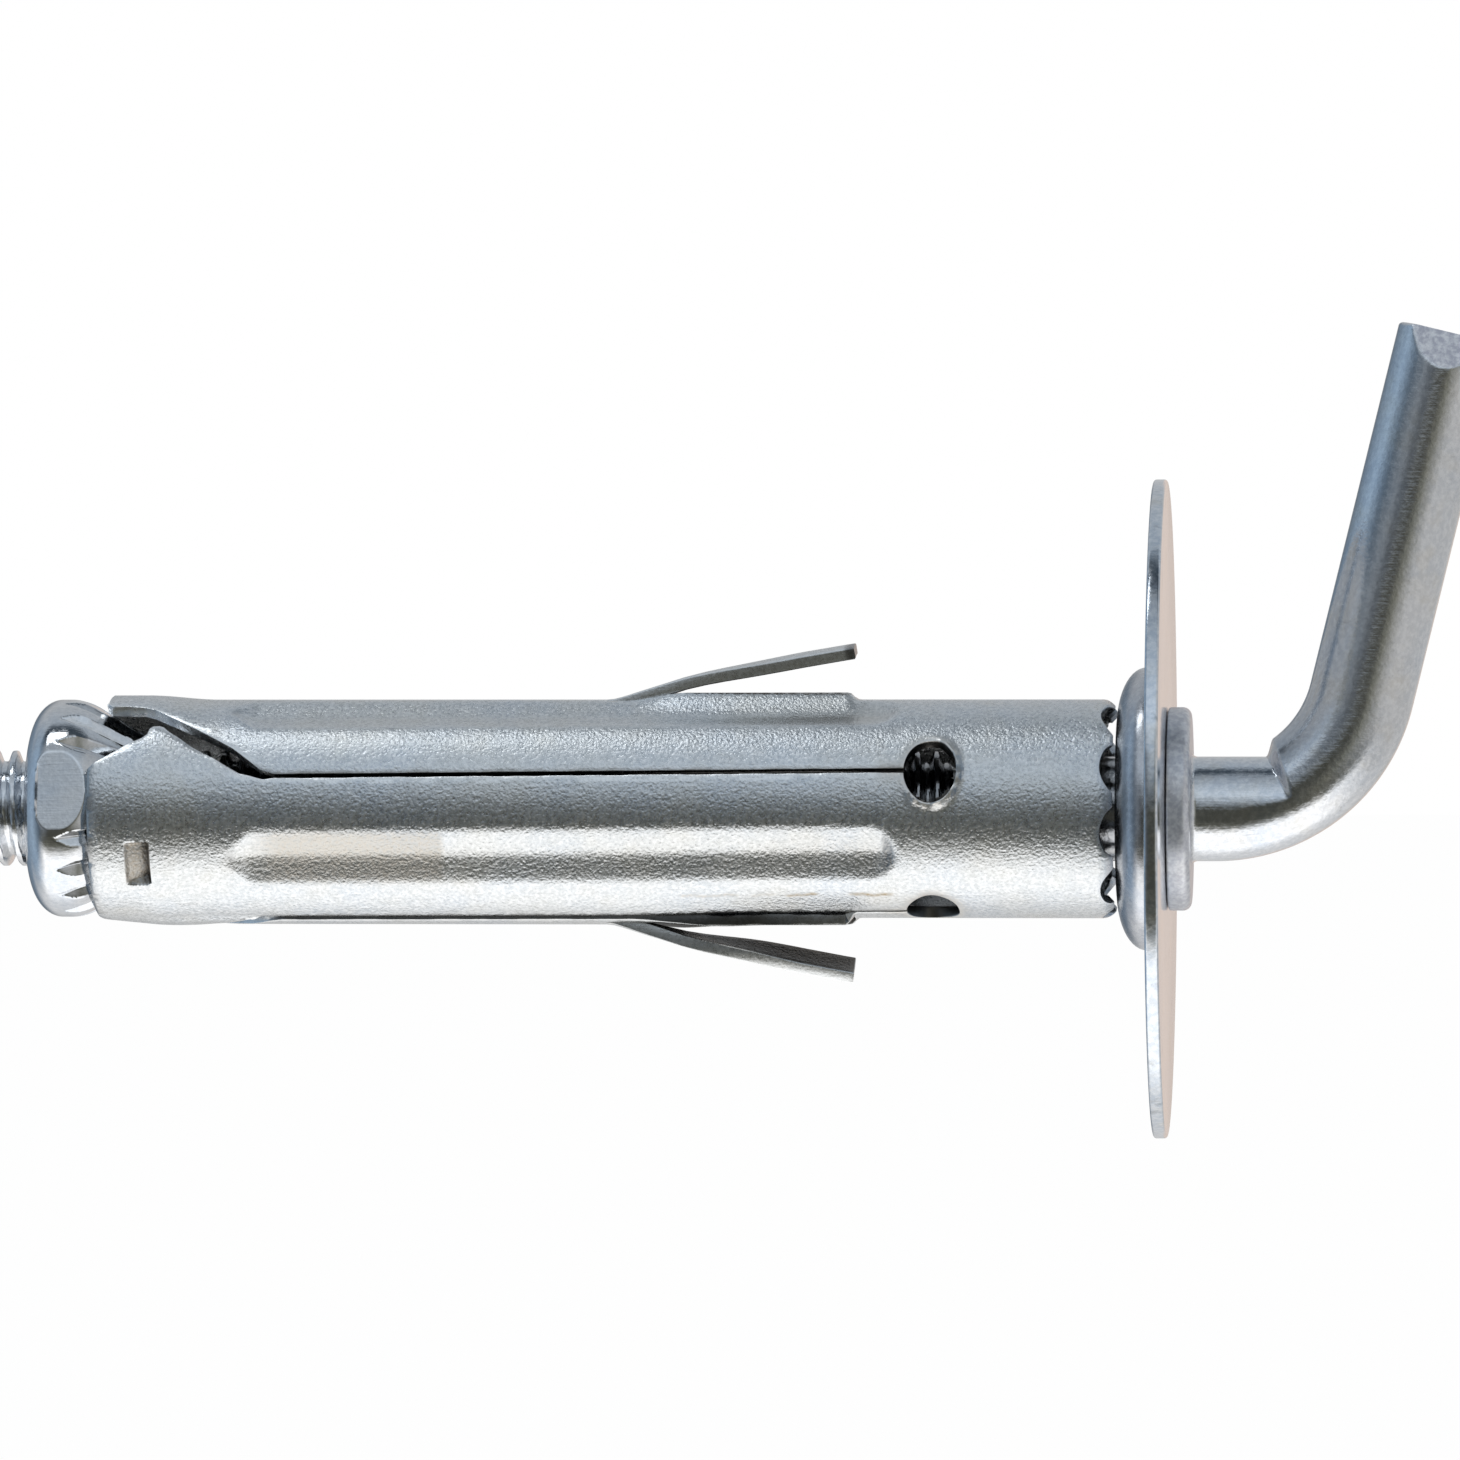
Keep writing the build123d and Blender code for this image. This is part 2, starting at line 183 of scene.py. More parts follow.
class AnchorStage(bpy.types.PropertyGroup):
    """Camera, floor and light."""

    azimuth: turn("Azimuth", "Camera round the object", 4.4)
    elevation: turn("Elevation", "Camera above the horizon", 0.0)
    distance: length("Distance", "Camera to the axis", 489.0)
    target_x: length("Target X", "Middle of the picture along the axis", -21.96)
    target_z: length("Target Z", "Middle of the picture above the axis", 4.07)
    floor: length("Floor", "Floor below the axis", 36.0)
    lens: number("Lens", "Focal length in millimetres", 232.8)
    world: number("World", "Strength of the surrounding light", 1.5)
    lamp: number("Lamp", "Power of the overhead lamp in watts", 0.095)
    lamp_x: length("Lamp X", "Middle of the lamp along the axis", -125.0)
    lamp_far: length("Lamp distance", "Lamp to the axis", 300.0)
    lamp_long: length("Lamp length", "Length of the lamp along the axis", 150.0)
    lamp_wide: length("Lamp width", "Width of the lamp", 60.0)
    lamp_up: turn("Lamp height", "Angle of the lamp above the camera's level", 81.0)


def smooth(t):
    """Smooth step from 0 to 1."""
    t = np.clip(t, 0.0, 1.0)
    return t * t * (3.0 - 2.0 * t)


def window(t, low, high, soft):
    """1 between low and high, with soft flanks."""
    return smooth((t - low) / soft + 0.5) * (1.0 - smooth((t - high) / soft + 0.5))


def eased(t, run):
    """Smooth step over a run given as its start and its length."""
    start, size = run
    return smooth((t - start) / size)


def hump(t, middle, width):
    """Bell round a middle, 1 at its top."""
    return np.exp(-(((t - middle) / width) ** 2))


def ring_faces(rows, around, closed):
    """Quads between rows of points that each go once round."""
    last = rows if closed else rows - 1
    faces = []
    for i in range(last):
        a = i * around
        b = ((i + 1) % rows) * around
        for j in range(around):
            k = (j + 1) % around
            faces.append((a + j, b + j, b + k, a + k))
    return faces


def rings(xs, rs, around):
    """Points of rings square to X, for radii that may change round each ring."""
    angle = np.arange(around) * 2.0 * math.pi / around
    xs = np.asarray(xs, float)[:, None] * np.ones(around)
    rs = np.asarray(rs, float)
    rs = rs[:, None] * np.ones(around) if rs.ndim == 1 else rs
    return np.stack([xs, rs * np.cos(angle), rs * np.sin(angle)], axis=2).reshape(-1, 3)


def arc(cx, cr, rx, rr, start, end, steps):
    """Points of an elliptical arc in the plane of X and radius."""
    return [
        (cx + rx * math.cos(math.radians(a)), cr + rr * math.sin(math.radians(a)))
        for a in np.linspace(start, end, steps)
    ]


def new_piece(name, points, faces, material, body, node, sharp=35.0):
    """A mesh piece in metres that stands for a CAD node and rides on its body."""
    mesh = bpy.data.meshes.new(name)
    mesh.from_pydata([tuple(p) for p in points], [], faces)
    mesh.validate()
    piece = bpy.data.objects.new(name, mesh)
    bpy.context.scene.collection.objects.link(piece)
    mesh.shade_smooth()
    mesh.set_sharp_from_angle(angle=math.radians(sharp))
    mesh.materials.append(material)
    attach(piece, body)
    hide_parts(node)
    return piece


def add_mask(piece, name, values):
    """A value for each point of the mesh, for the material to read."""
    layer = piece.data.attributes.new(name, "FLOAT", "POINT")
    layer.data.foreach_set("value", np.asarray(values, np.float32))


class Nodes:
    """Small helper that adds and links the nodes of one tree."""

    def __init__(self, tree):
        self.tree = tree
        self.column = 0

    def add(self, kind, sets=None, **inputs):
        """Adds a node, sets its own values and its inputs, and links inputs given as sockets."""
        node = self.tree.nodes.new(kind)
        self.column += 1
        node.location = (self.column * 180, 0)
        for key, value in (sets or {}).items():
            setattr(node, key, value)
        for key, value in inputs.items():
            self.put(node, key.replace("_", " "), value)
        return node

    def put(self, node, key, value):
        """Sets or links one input, named or numbered."""
        socket = node.inputs[int(key[1:])] if key[0] == "i" and key[1:].isdigit() else node.inputs[key]
        if isinstance(value, bpy.types.NodeSocket):
            self.tree.links.new(value, socket)
        else:
            socket.default_value = value

    def math(self, operation, a, b=None):
        """One Math node's output."""
        node = self.add("ShaderNodeMath", {"operation": operation}, i0=a)
        if b is not None:
            self.put(node, "i1", b)
        return node.outputs[0]

    def mix(self, factor, a, b):
        """One colour mix's output."""
        node = self.add("ShaderNodeMix", {"data_type": "RGBA"}, i0=factor, i6=a, i7=b)
        return node.outputs[2]

    def ramp(self, factor, low, high):
        """A value stretched from low..high to 0..1."""
        node = self.add("ShaderNodeMapRange", {"clamp": True}, i0=factor, i1=low, i2=high)
        return node.outputs[0]


def group(name, takes, gives):
    """A shader node group with named sockets, and a helper for its nodes."""
    tree = bpy.data.node_groups.new(name, "ShaderNodeTree")
    for socket, kind, value in takes:
        made = tree.interface.new_socket(socket, in_out="INPUT", socket_type=kind)
        made.default_value = value
    for socket, kind in gives:
        tree.interface.new_socket(socket, in_out="OUTPUT", socket_type=kind)
    nodes = Nodes(tree)
    start = nodes.add("NodeGroupInput")
    end = nodes.add("NodeGroupOutput")
    return tree, nodes, start, end


VECTOR, FLOAT, COLOUR = "NodeSocketVector", "NodeSocketFloat", "NodeSocketColor"


def grain_group():
    """Crystalline speckle of bright zinc: a height for bump and a mask for colour and gloss."""
    takes = (("Place", VECTOR, (0, 0, 0)), ("Size", FLOAT, 5.0))
    tree, n, start, end = group("Zinc grain", takes, (("Height", FLOAT), ("Speckle", FLOAT)))
    place, size = start.outputs["Place"], start.outputs["Size"]
    cells = n.add("ShaderNodeTexVoronoi", {"feature": "SMOOTH_F1"}, Vector=place, Scale=size, Smoothness=0.35)
    dust = n.add("ShaderNodeTexNoise", Vector=place, Detail=3.0, Roughness=0.6)
    n.put(dust, "Scale", n.math("MULTIPLY", size, 0.8))
    crystals = n.math("MULTIPLY", cells.outputs["Distance"], 0.4)
    n.put(end, "Height", n.math("ADD", crystals, n.math("MULTIPLY", dust.outputs[0], 1.05)))
    n.put(end, "Speckle", n.ramp(dust.outputs[0], 0.4, 0.64))
    return tree


def cloud_group():
    """Slow drift of the plate's tint between cool and warm."""
    takes = (
        ("Place", VECTOR, (0, 0, 0)),
        ("Zinc", COLOUR, (0.8, 0.8, 0.8, 1)),
        ("Cool", COLOUR, (0.7, 0.75, 0.8, 1)),
        ("Warm", COLOUR, (0.8, 0.75, 0.65, 1)),
        ("Cool share", FLOAT, 0.5),
        ("Warm share", FLOAT, 0.3),
    )
    tree, n, start, end = group("Plating tint", takes, (("Colour", COLOUR), ("Cloud", FLOAT)))
    slow = n.add("ShaderNodeTexNoise", Vector=start.outputs["Place"], Scale=0.22, Detail=3.0, Roughness=0.5)
    patch = n.add("ShaderNodeTexNoise", Vector=start.outputs["Place"], Scale=0.55, Detail=4.0, Roughness=0.55)
    cool = n.math("MULTIPLY", n.ramp(slow.outputs[0], 0.42, 0.66), start.outputs["Cool share"])
    warm = n.math("MULTIPLY", n.ramp(patch.outputs[0], 0.5, 0.74), start.outputs["Warm share"])
    first = n.mix(cool, start.outputs["Zinc"], start.outputs["Cool"])
    n.put(end, "Colour", n.mix(warm, first, start.outputs["Warm"]))
    n.put(end, "Cloud", n.ramp(slow.outputs[0], 0.3, 0.7))
    return tree


def marks_group():
    """Fine handling scratches and drawing lines along X, as a height and a mask."""
    takes = (("Place", VECTOR, (0, 0, 0)), ("Across", FLOAT, 9.0), ("Along", FLOAT, 0.35))
    tree, n, start, end = group("Drawing marks", takes, (("Height", FLOAT), ("Mask", FLOAT)))
    across = start.outputs["Across"]
    stretch = n.add("ShaderNodeCombineXYZ", X=start.outputs["Along"], Y=across, Z=across)
    place = n.add("ShaderNodeVectorMath", {"operation": "MULTIPLY"}, i0=start.outputs["Place"])
    n.put(place, "i1", stretch.outputs[0])
    lines = n.add("ShaderNodeTexNoise", Vector=place.outputs[0], Scale=1.0, Detail=4.0, Roughness=0.7)
    spots = n.add("ShaderNodeTexNoise", Vector=start.outputs["Place"], Scale=0.9, Detail=2.0)
    mask = n.math("MULTIPLY", n.ramp(lines.outputs[0], 0.56, 0.72), n.ramp(spots.outputs[0], 0.45, 0.65))
    n.put(end, "Height", lines.outputs[0])
    n.put(end, "Mask", mask)
    return tree


def shared_group(name, maker):
    """The node group of that name, made on first use."""
    return bpy.data.node_groups.get(name) or maker()


SPARKLE = (0.97, 0.975, 0.98, 1)
# Near-white of cut edges: partly wear, partly painted highlight.
WORN_AND_GLINT = (0.96, 0.96, 0.95, 1)
STAIN = (0.46, 0.38, 0.27, 1)
TORN_DARK, TORN_LIGHT = (0.56, 0.56, 0.64, 1), (0.95, 0.95, 0.98, 1)
# The fourth share is the strength of the painted shade; the second, of the cut edges' wear and painted
# highlight.
SCRATCH_SHARE, WORN_AND_GLINT_SHARE, PRESSED_SHARE, SHADE_SHARE, TORN_SHARE = 0.35, 0.75, 0.1, 0.85, 0.8
STAIN_DULL, TORN_DULL, TORN_MATT = 0.12, 0.36, 0.75
EDGE_CALM = 0.8


def zinc_material(name, finish, look):
    """Bright zinc plate: tint, grain and drawing marks at this piece's own values, with painted shade and
    painted edge highlights where the piece has those masks.
    """
    material = bpy.data.materials.new(name)
    material.use_nodes = True
    tree = material.node_tree
    tree.nodes.clear()
    n = Nodes(tree)
    spot = n.add("ShaderNodeTexCoord").outputs["Object"]
    place = n.add("ShaderNodeVectorMath", {"operation": "SCALE"}, i0=spot, Scale=1.0 / MM).outputs[0]

    def mask(label):
        return n.add("ShaderNodeAttribute", {"attribute_name": label}).outputs["Fac"]

    def use(label, maker, **values):
        node = n.add("ShaderNodeGroup", {"node_tree": shared_group(label, maker)}, **values)
        return node.outputs

    cloud = use(
        "Plating tint",
        cloud_group,
        Place=place,
        Zinc=(*look.get("zinc", finish.zinc), 1),
        Cool=(*finish.cool, 1),
        Warm=(*finish.warm, 1),
        Cool_share=look["cool"],
        Warm_share=look["warm"],
    )
    grain = use("Zinc grain", grain_group, Place=place, Size=look["grain"])
    lines = {"Across": look.get("across", 9.0), "Along": look.get("along", 0.35)}
    marks = use("Drawing marks", marks_group, Place=place, **lines)
    sparkle = n.math("MULTIPLY", grain["Speckle"], look["speckle"])
    bright = n.mix(sparkle, cloud["Colour"], SPARKLE)
    colour = n.mix(n.math("MULTIPLY", marks["Mask"], SCRATCH_SHARE), bright, (*finish.grime, 1))
    dull = n.math("MULTIPLY", grain["Speckle"], look["dull"])
    gloss = n.math("ADD", dull, look.get("gloss", finish.gloss))
    relief = grain["Height"]
    metal = 1.0
    # Cut edges and the groove end lightened, partly wear, partly painted highlight; grooves warmed; stains.
    if look.get("masks"):
        edge, stain = mask("cut_edge"), mask("stain")
        worn = n.math("MULTIPLY", edge, n.math("ADD", n.math("MULTIPLY", cloud["Cloud"], 0.5), 0.4))
        colour = n.mix(n.math("MULTIPLY", worn, WORN_AND_GLINT_SHARE), colour, WORN_AND_GLINT)
        colour = n.mix(n.math("MULTIPLY", mask("pressed"), PRESSED_SHARE), colour, (*finish.warm, 1))
        patchy = n.math("ADD", n.math("MULTIPLY", grain["Speckle"], 0.5), 0.35)
        colour = n.mix(n.math("MULTIPLY", stain, patchy), colour, STAIN)
        gloss = n.math("ADD", gloss, n.math("MULTIPLY", stain, STAIN_DULL))
        calm = n.math("SUBTRACT", 1.0, n.math("MULTIPLY", edge, EDGE_CALM))
        relief = n.math("MULTIPLY", relief, calm)
    # Painted shade, from the piece's shade mask.
    if look.get("grimed"):
        colour = n.mix(n.math("MULTIPLY", mask("grime"), SHADE_SHARE), colour, (*finish.grime, 1))
    if look.get("sheared"):
        torn = mask("sheared")
        flecks = n.mix(grain["Speckle"], TORN_DARK, TORN_LIGHT)
        colour = n.mix(n.math("MULTIPLY", torn, TORN_SHARE), colour, flecks)
        gloss = n.math("ADD", gloss, n.math("MULTIPLY", torn, TORN_DULL))
        metal = n.math("SUBTRACT", 1.0, n.math("MULTIPLY", torn, TORN_MATT))
    fine = n.add("ShaderNodeBump", Strength=1.0, Distance=look["bump"] * MM, Height=relief)
    drawn = n.add("ShaderNodeBump", Strength=1.0, Height=marks["Height"])
    n.put(drawn, "Distance", look.get("draw", 0.004) * MM)
    n.put(drawn, "Normal", fine.outputs[0])
    shader = n.add("ShaderNodeBsdfPrincipled", Metallic=metal, Base_Color=colour, Roughness=gloss)
    n.put(shader, "Normal", drawn.outputs[0])
    out = n.add("ShaderNodeOutputMaterial")
    tree.links.new(shader.outputs[0], out.inputs[0])
    return material


class ANCHOR_OT_hook(bpy.types.Operator):
    """Hook bolt: threaded rod, upset collar, bend and leg in one mesh"""

    bl_idname = "anchor.hook"
    bl_label = "Hook bolt"

    around = 80
    turns = 12
    bend_steps = 90
    # Shares of a thread's half pitch: where the flank starts, and its length
    flank_run = (0.2, 0.6)
    # Small rounds of the rod and the collar
    collar_edge = 0.15 * MM
    collar_foot = 0.5 * MM
    collar_fillet = 0.3 * MM
    end_round = 0.2 * MM
    # Tool step: how far its slant and its soft edge reach
    step_reach = MM
    step_soft = 0.35 * MM
    step_slant = 0.5
    # Places that part the leg from the rest, and the masks' runs along the axis in mm
    leg_above = 15.0 * MM
    axis_below = 8.0 * MM
    collar_run = (0.6, 2.0, 0.1)
    # Thread inside the sleeve, darkened as painted shade.
    inside_run = (-53.0, -2.4, 1.0)
    torn_soft = 0.03 * MM

    def thread_radius(self, s, x):
        """Radius of the rolled thread at places along the axis, for every angle round it."""
        angle = np.arange(self.around) / self.around
        phase = np.mod(x[:, None] / s.pitch - angle[None, :], 1.0)
        flank = np.abs(phase - 0.5) * 2.0
        dip = eased(flank, self.flank_run)
        crest = s.thread_d / 2
        radius = crest - s.thread_depth * dip
        chamfer = crest - s.rod_chamfer + (x - HOOK_LOW[0])[:, None]
        fade = smooth((-s.thread_end - x)[:, None] / s.pitch)
        radius = s.rod_d / 2 + (radius - s.rod_d / 2) * fade
        return np.minimum(radius, chamfer)

    def execute(self, context):
        s = context.scene.anchor_hook
        finish = context.scene.anchor_finish
        around = self.around
        rod_r = s.rod_d / 2
        thread_x = np.arange(HOOK_LOW[0], -s.thread_end + s.pitch / self.turns, s.pitch / self.turns)
        thread_r = self.thread_radius(s, thread_x)
        end = s.collar_from + s.collar_t
        collar_r = s.collar_d / 2
        start, small = s.collar_from, self.collar_edge
        profile = [(start - small, rod_r), (start, rod_r + small / 2), (start, collar_r - small)]
        profile += arc(start + small, collar_r - small, small, small, 180, 90, 4)[1:]
        large = s.collar_round
        profile += arc(end - large, collar_r - large, large, large, 90, 0, 9)
        profile += [(end, rod_r + self.collar_foot)]
        fillet = self.collar_fillet
        profile += arc(end + fillet, rod_r + fillet, fillet, fillet, 180, 270, 6)
        collar_x, collar_rs = np.array(profile).T
        bend_turn = math.pi / 2 - s.lean
        bend_x = s.corner - s.bend_r * math.tan(bend_turn / 2)
        straight = np.concatenate([thread_x, collar_x])
        radii = np.concatenate([thread_r, collar_rs[:, None] * np.ones(around)])
        points = [rings(straight, radii, around)]
        angle = np.arange(around) * 2.0 * math.pi / around
        side = np.stack([np.zeros(around), np.cos(angle), np.zeros(around)], axis=1)

        def ring(centre, tilt, r):
            up = np.array([-math.sin(tilt), 0.0, math.cos(tilt)])
            return np.asarray(centre) + r * (side + np.sin(angle)[:, None] * up)

        for a in np.linspace(0.0, bend_turn, self.bend_steps):
            middle = (bend_x + s.bend_r * math.sin(a), 0.0, s.bend_r * (1.0 - math.cos(a)))
            points.append(ring(middle, a, rod_r))
        leg_dir = np.array([math.sin(s.lean), 0.0, math.cos(s.lean)])
        leg_end = np.array([s.corner, 0.0, 0.0]) + leg_dir * s.leg
        run = s.leg - (s.corner - bend_x)
        round_r = self.end_round
        coarse, dense = np.linspace(run - MM, 3.0 * MM, 16), np.linspace(2.9 * MM, round_r, 28)
        for left in np.concatenate([coarse, dense]):
            points.append(ring(leg_end - leg_dir * left, bend_turn, rod_r))
        for a in np.linspace(math.pi / 10, math.pi / 2, 5):
            centre = leg_end - leg_dir * round_r * (1.0 - math.sin(a))
            points.append(ring(centre, bend_turn, rod_r - round_r * (1.0 - math.cos(a))))
        for share in (0.8, 0.6, 0.4, 0.2):
            points.append(ring(leg_end, bend_turn, (rod_r - round_r) * share))
        points = np.concatenate(points)
        beyond = np.hypot(points[:, 1], points[:, 2])
        bent = (points[:, 0] > bend_x) & (points[:, 0] < s.tool_step + self.step_reach)
        stepped = bent & (points[:, 2] > 0.0) & (beyond > rod_r)
        edge = s.tool_step + self.step_slant * (beyond[stepped] - points[stepped, 2])
        pulled = smooth((edge - points[stepped, 0]) / self.step_soft)
        points[stepped, 1:] *= (1.0 + pulled * (rod_r / beyond[stepped] - 1.0))[:, None]
        tilt = math.atan2(s.shear_depth, s.shear)
        normal = np.array([0.0, -math.cos(tilt), 0.0]) + leg_dir * math.sin(tilt)
        base = leg_end - leg_dir * s.shear - np.array([0.0, rod_r, 0.0])
        over = np.maximum((points - base) @ normal, 0.0)
        over[points[:, 2] < self.leg_above] = 0.0
        points[:, 1] += over / math.cos(tilt)
        rows = len(points) // around
        faces = ring_faces(rows, around, False)
        first = len(points)
        points = np.concatenate([points, [[HOOK_LOW[0], 0.0, 0.0], leg_end]])
        for j in range(around):
            k = (j + 1) % around
            faces.append((first, j, k))
            faces.append((first + 1, (rows - 1) * around + k, (rows - 1) * around + j))
        look = {"cool": 0.5, "warm": 0.35, "grain": 4.2, "speckle": 0.35, "dull": 0.05, "gloss": 0.11}
        look.update(bump=0.009, draw=0.006, grimed=True, sheared=True)
        material = zinc_material("Zinc wire", finish, look)
        piece = new_piece("HookBolt", points, faces, material, "hook", "hook_bolt", 40.0)
        x = points[:, 0] / MM
        collar = window(x, *self.collar_run) * (points[:, 2] < self.axis_below)
        # Painted shade on the thread inside the sleeve, and faintly on the collar.
        add_mask(piece, "grime", 0.75 * window(x, *self.inside_run) + 0.04 * collar)
        torn = np.concatenate([smooth(over / self.torn_soft), [0.0, 1.0]])
        add_mask(piece, "sheared", np.maximum(torn, 0.55 * collar))
        return {"FINISHED"}


class ANCHOR_OT_washers(bpy.types.Operator):
    """Large flat washer and pressed cup washer, each a turned profile"""

    bl_idname = "anchor.washers"
    bl_label = "Washers"

    around = 224
    burr = 0.08 * MM

    def turned(self, name, profile, material, body, node):
        """A closed profile turned about the axis."""
        xs, rs = np.array(profile).T
        points = rings(xs, rs, self.around)
        faces = ring_faces(len(profile), self.around, True)
        new_piece(name, points, faces, material, body, node, 30.0)

    def execute(self, context):
        s = context.scene.anchor_washers
        finish = context.scene.anchor_finish
        hole = s.bore / 2
        back, front = WASHER_LOW[0], WASHER_HIGH[0]
        outer = WASHER_HIGH[2]
        e = s.edge
        burr = self.burr
        profile = [(back, hole + burr), (back, outer * 0.5), (back, outer - e)]
        profile += arc(back + e, outer - e, e, e, 180, 90, 5)[1:]
        profile += arc(front - e, outer - e, e, e, 90, 0, 5)
        profile += [(front, outer * 0.5), (front, hole + burr), (front - burr, hole), (back + burr, hole)]
        look = {"cool": 0.35, "warm": 0.45, "grain": 3.6, "speckle": 0.4, "dull": 0.05, "bump": 0.004}
        look.update(zinc=(0.58, 0.63, 0.69), along=0.9, across=0.9, gloss=0.13)
        material = zinc_material("Zinc washer", finish, look)
        self.turned("WallWasher", profile, material, "wall_washer", "large_washer")
        crown, foot = CUP_LOW[0], CUP_HIGH[0]
        rim_r = CUP_HIGH[2]
        crown_r = s.crown_d / 2
        profile = [(crown + burr, hole), (crown, hole + burr), (crown, crown_r)]
        profile += arc(foot - s.rim, crown_r, foot - s.rim - crown, rim_r - crown_r, 180, 90, 14)[1:]
        profile += [(foot - burr, rim_r), (foot, rim_r - burr), (foot, rim_r - s.sheet)]
        under = crown + s.sheet
        profile += [(under, crown_r), (under, hole + burr), (under - burr, hole)]
        look = {"cool": 0.4, "warm": 0.15, "grain": 4.0, "speckle": 0.25, "dull": 0.06, "bump": 0.007}
        # This darker zinc stands for painted shade cast by the neighbouring parts.
        look.update(zinc=(0.5, 0.51, 0.54), gloss=0.22)
        material = zinc_material("Zinc cup", finish, look)
        self.turned("CupWasher", profile, material, "cup_washer", "domed_washer")
        return {"FINISHED"}


class ANCHOR_OT_nut(bpy.types.Operator):
    """Fluted cone nut: domed end, band with two flats, cone with pointed flutes"""

    bl_idname = "anchor.nut"
    bl_label = "Cone nut"

    samples = 24
    crown_steps = 36
    cone_steps = 70
    edge = 0.1 * MM
    bore_chamfer = 0.3 * MM
    # Bearings in degrees: first flute, middle and half width of a flat, and where flutes fade beside it
    first_flute = 2.0
    flat_at = 10.5
    flat_half = 21.5
    flat_reach = 60.0
    fade_run = (15.0, 9.0)
    # How a flat runs out on the crown: its distance from the band and its slope
    flat_past = 0.62 * MM
    flat_slope = 1.2
    flute_growth = 0.9

    def execute(self, context):
        s = context.scene.anchor_nut
        finish = context.scene.anchor_finish
        around = s.flutes * self.samples
        face_x, nose_x = NUT_LOW[0], NUT_HIGH[0]
        outer, bore, nose_r = s.outer_d / 2, s.bore_d / 2, s.nose_d / 2
        slope = math.tan(s.cone)
        shoulder_x = nose_x - (outer - nose_r) / slope
        band_x = face_x + s.crown
        small, chamfer, face_r = self.edge, self.bore_chamfer, s.face_d / 2
        profile = [(face_x + chamfer, bore), (face_x, bore + chamfer), (face_x, face_r)]
        profile += arc(band_x, face_r, s.crown, outer - face_r, 180, 90, self.crown_steps)[1:]
        xs = np.linspace(band_x + small, nose_x - small, self.cone_steps)
        sharp = outer - slope * np.maximum(xs - shoulder_x, 0.0)
        reach = (xs - shoulder_x) / s.shoulder
        blend = outer - slope * s.shoulder * (reach + 1.0) ** 2 / 4.0
        sharp = np.where(np.abs(reach) < 1.0, blend, sharp)
        profile += list(zip(xs, sharp))
        profile += [(nose_x, nose_r - small), (nose_x, bore + small), (nose_x - small, bore)]
        px, pr = np.array(profile).T
        angle = np.arange(around) * 2.0 * math.pi / around
        bearing = np.degrees(math.pi - angle)
        pitch = 360.0 / s.flutes
        away = np.abs(np.mod(bearing - self.first_flute + pitch / 2, pitch) - pitch / 2)
        radius = pr[:, None] * np.ones(around)
        off_flute = np.radians(away)[None, :] * radius
        depth = s.flute_d * smooth((px - band_x) / (shoulder_x - band_x) * self.flute_growth)[:, None]
        nearest = np.abs(np.mod(bearing - self.flat_at + 90.0, 180.0) - 90.0)
        depth = depth * eased(nearest, self.fade_run)[None, :]
        cut = np.maximum(depth - off_flute * s.flute_d / (s.flute_w / 2), 0.0)
        on_cone = ((px > band_x) & (pr > bore + 2.0 * small))[:, None]
        radius = np.where(on_cone, radius - cut, radius)
        flat_r = outer * math.cos(math.radians(self.flat_half))
        past = self.flat_slope * np.maximum(band_x - self.flat_past - px, 0.0)
        for at in (self.flat_at, self.flat_at + 180.0):
            off_flat = np.radians(np.mod(bearing - at + 180.0, 360.0) - 180.0)
            facing = np.abs(off_flat) < math.radians(self.flat_reach)
            limit = np.where(facing, flat_r / np.cos(np.where(facing, off_flat, 0.0)), 1.0)
            radius = np.minimum(radius, limit[None, :] + past[:, None])
        points = rings(px, radius, around)
        faces = ring_faces(len(px), around, True)
        look = {"cool": 0.6, "warm": 0.15, "grain": 5.0, "speckle": 0.25, "dull": 0.04, "bump": 0.003}
        look.update(gloss=0.07)
        material = zinc_material("Zinc nut", finish, look)
        new_piece("ConeNut", points, faces, material, "cone", "cone_nut", 28.0)
        return {"FINISHED"}


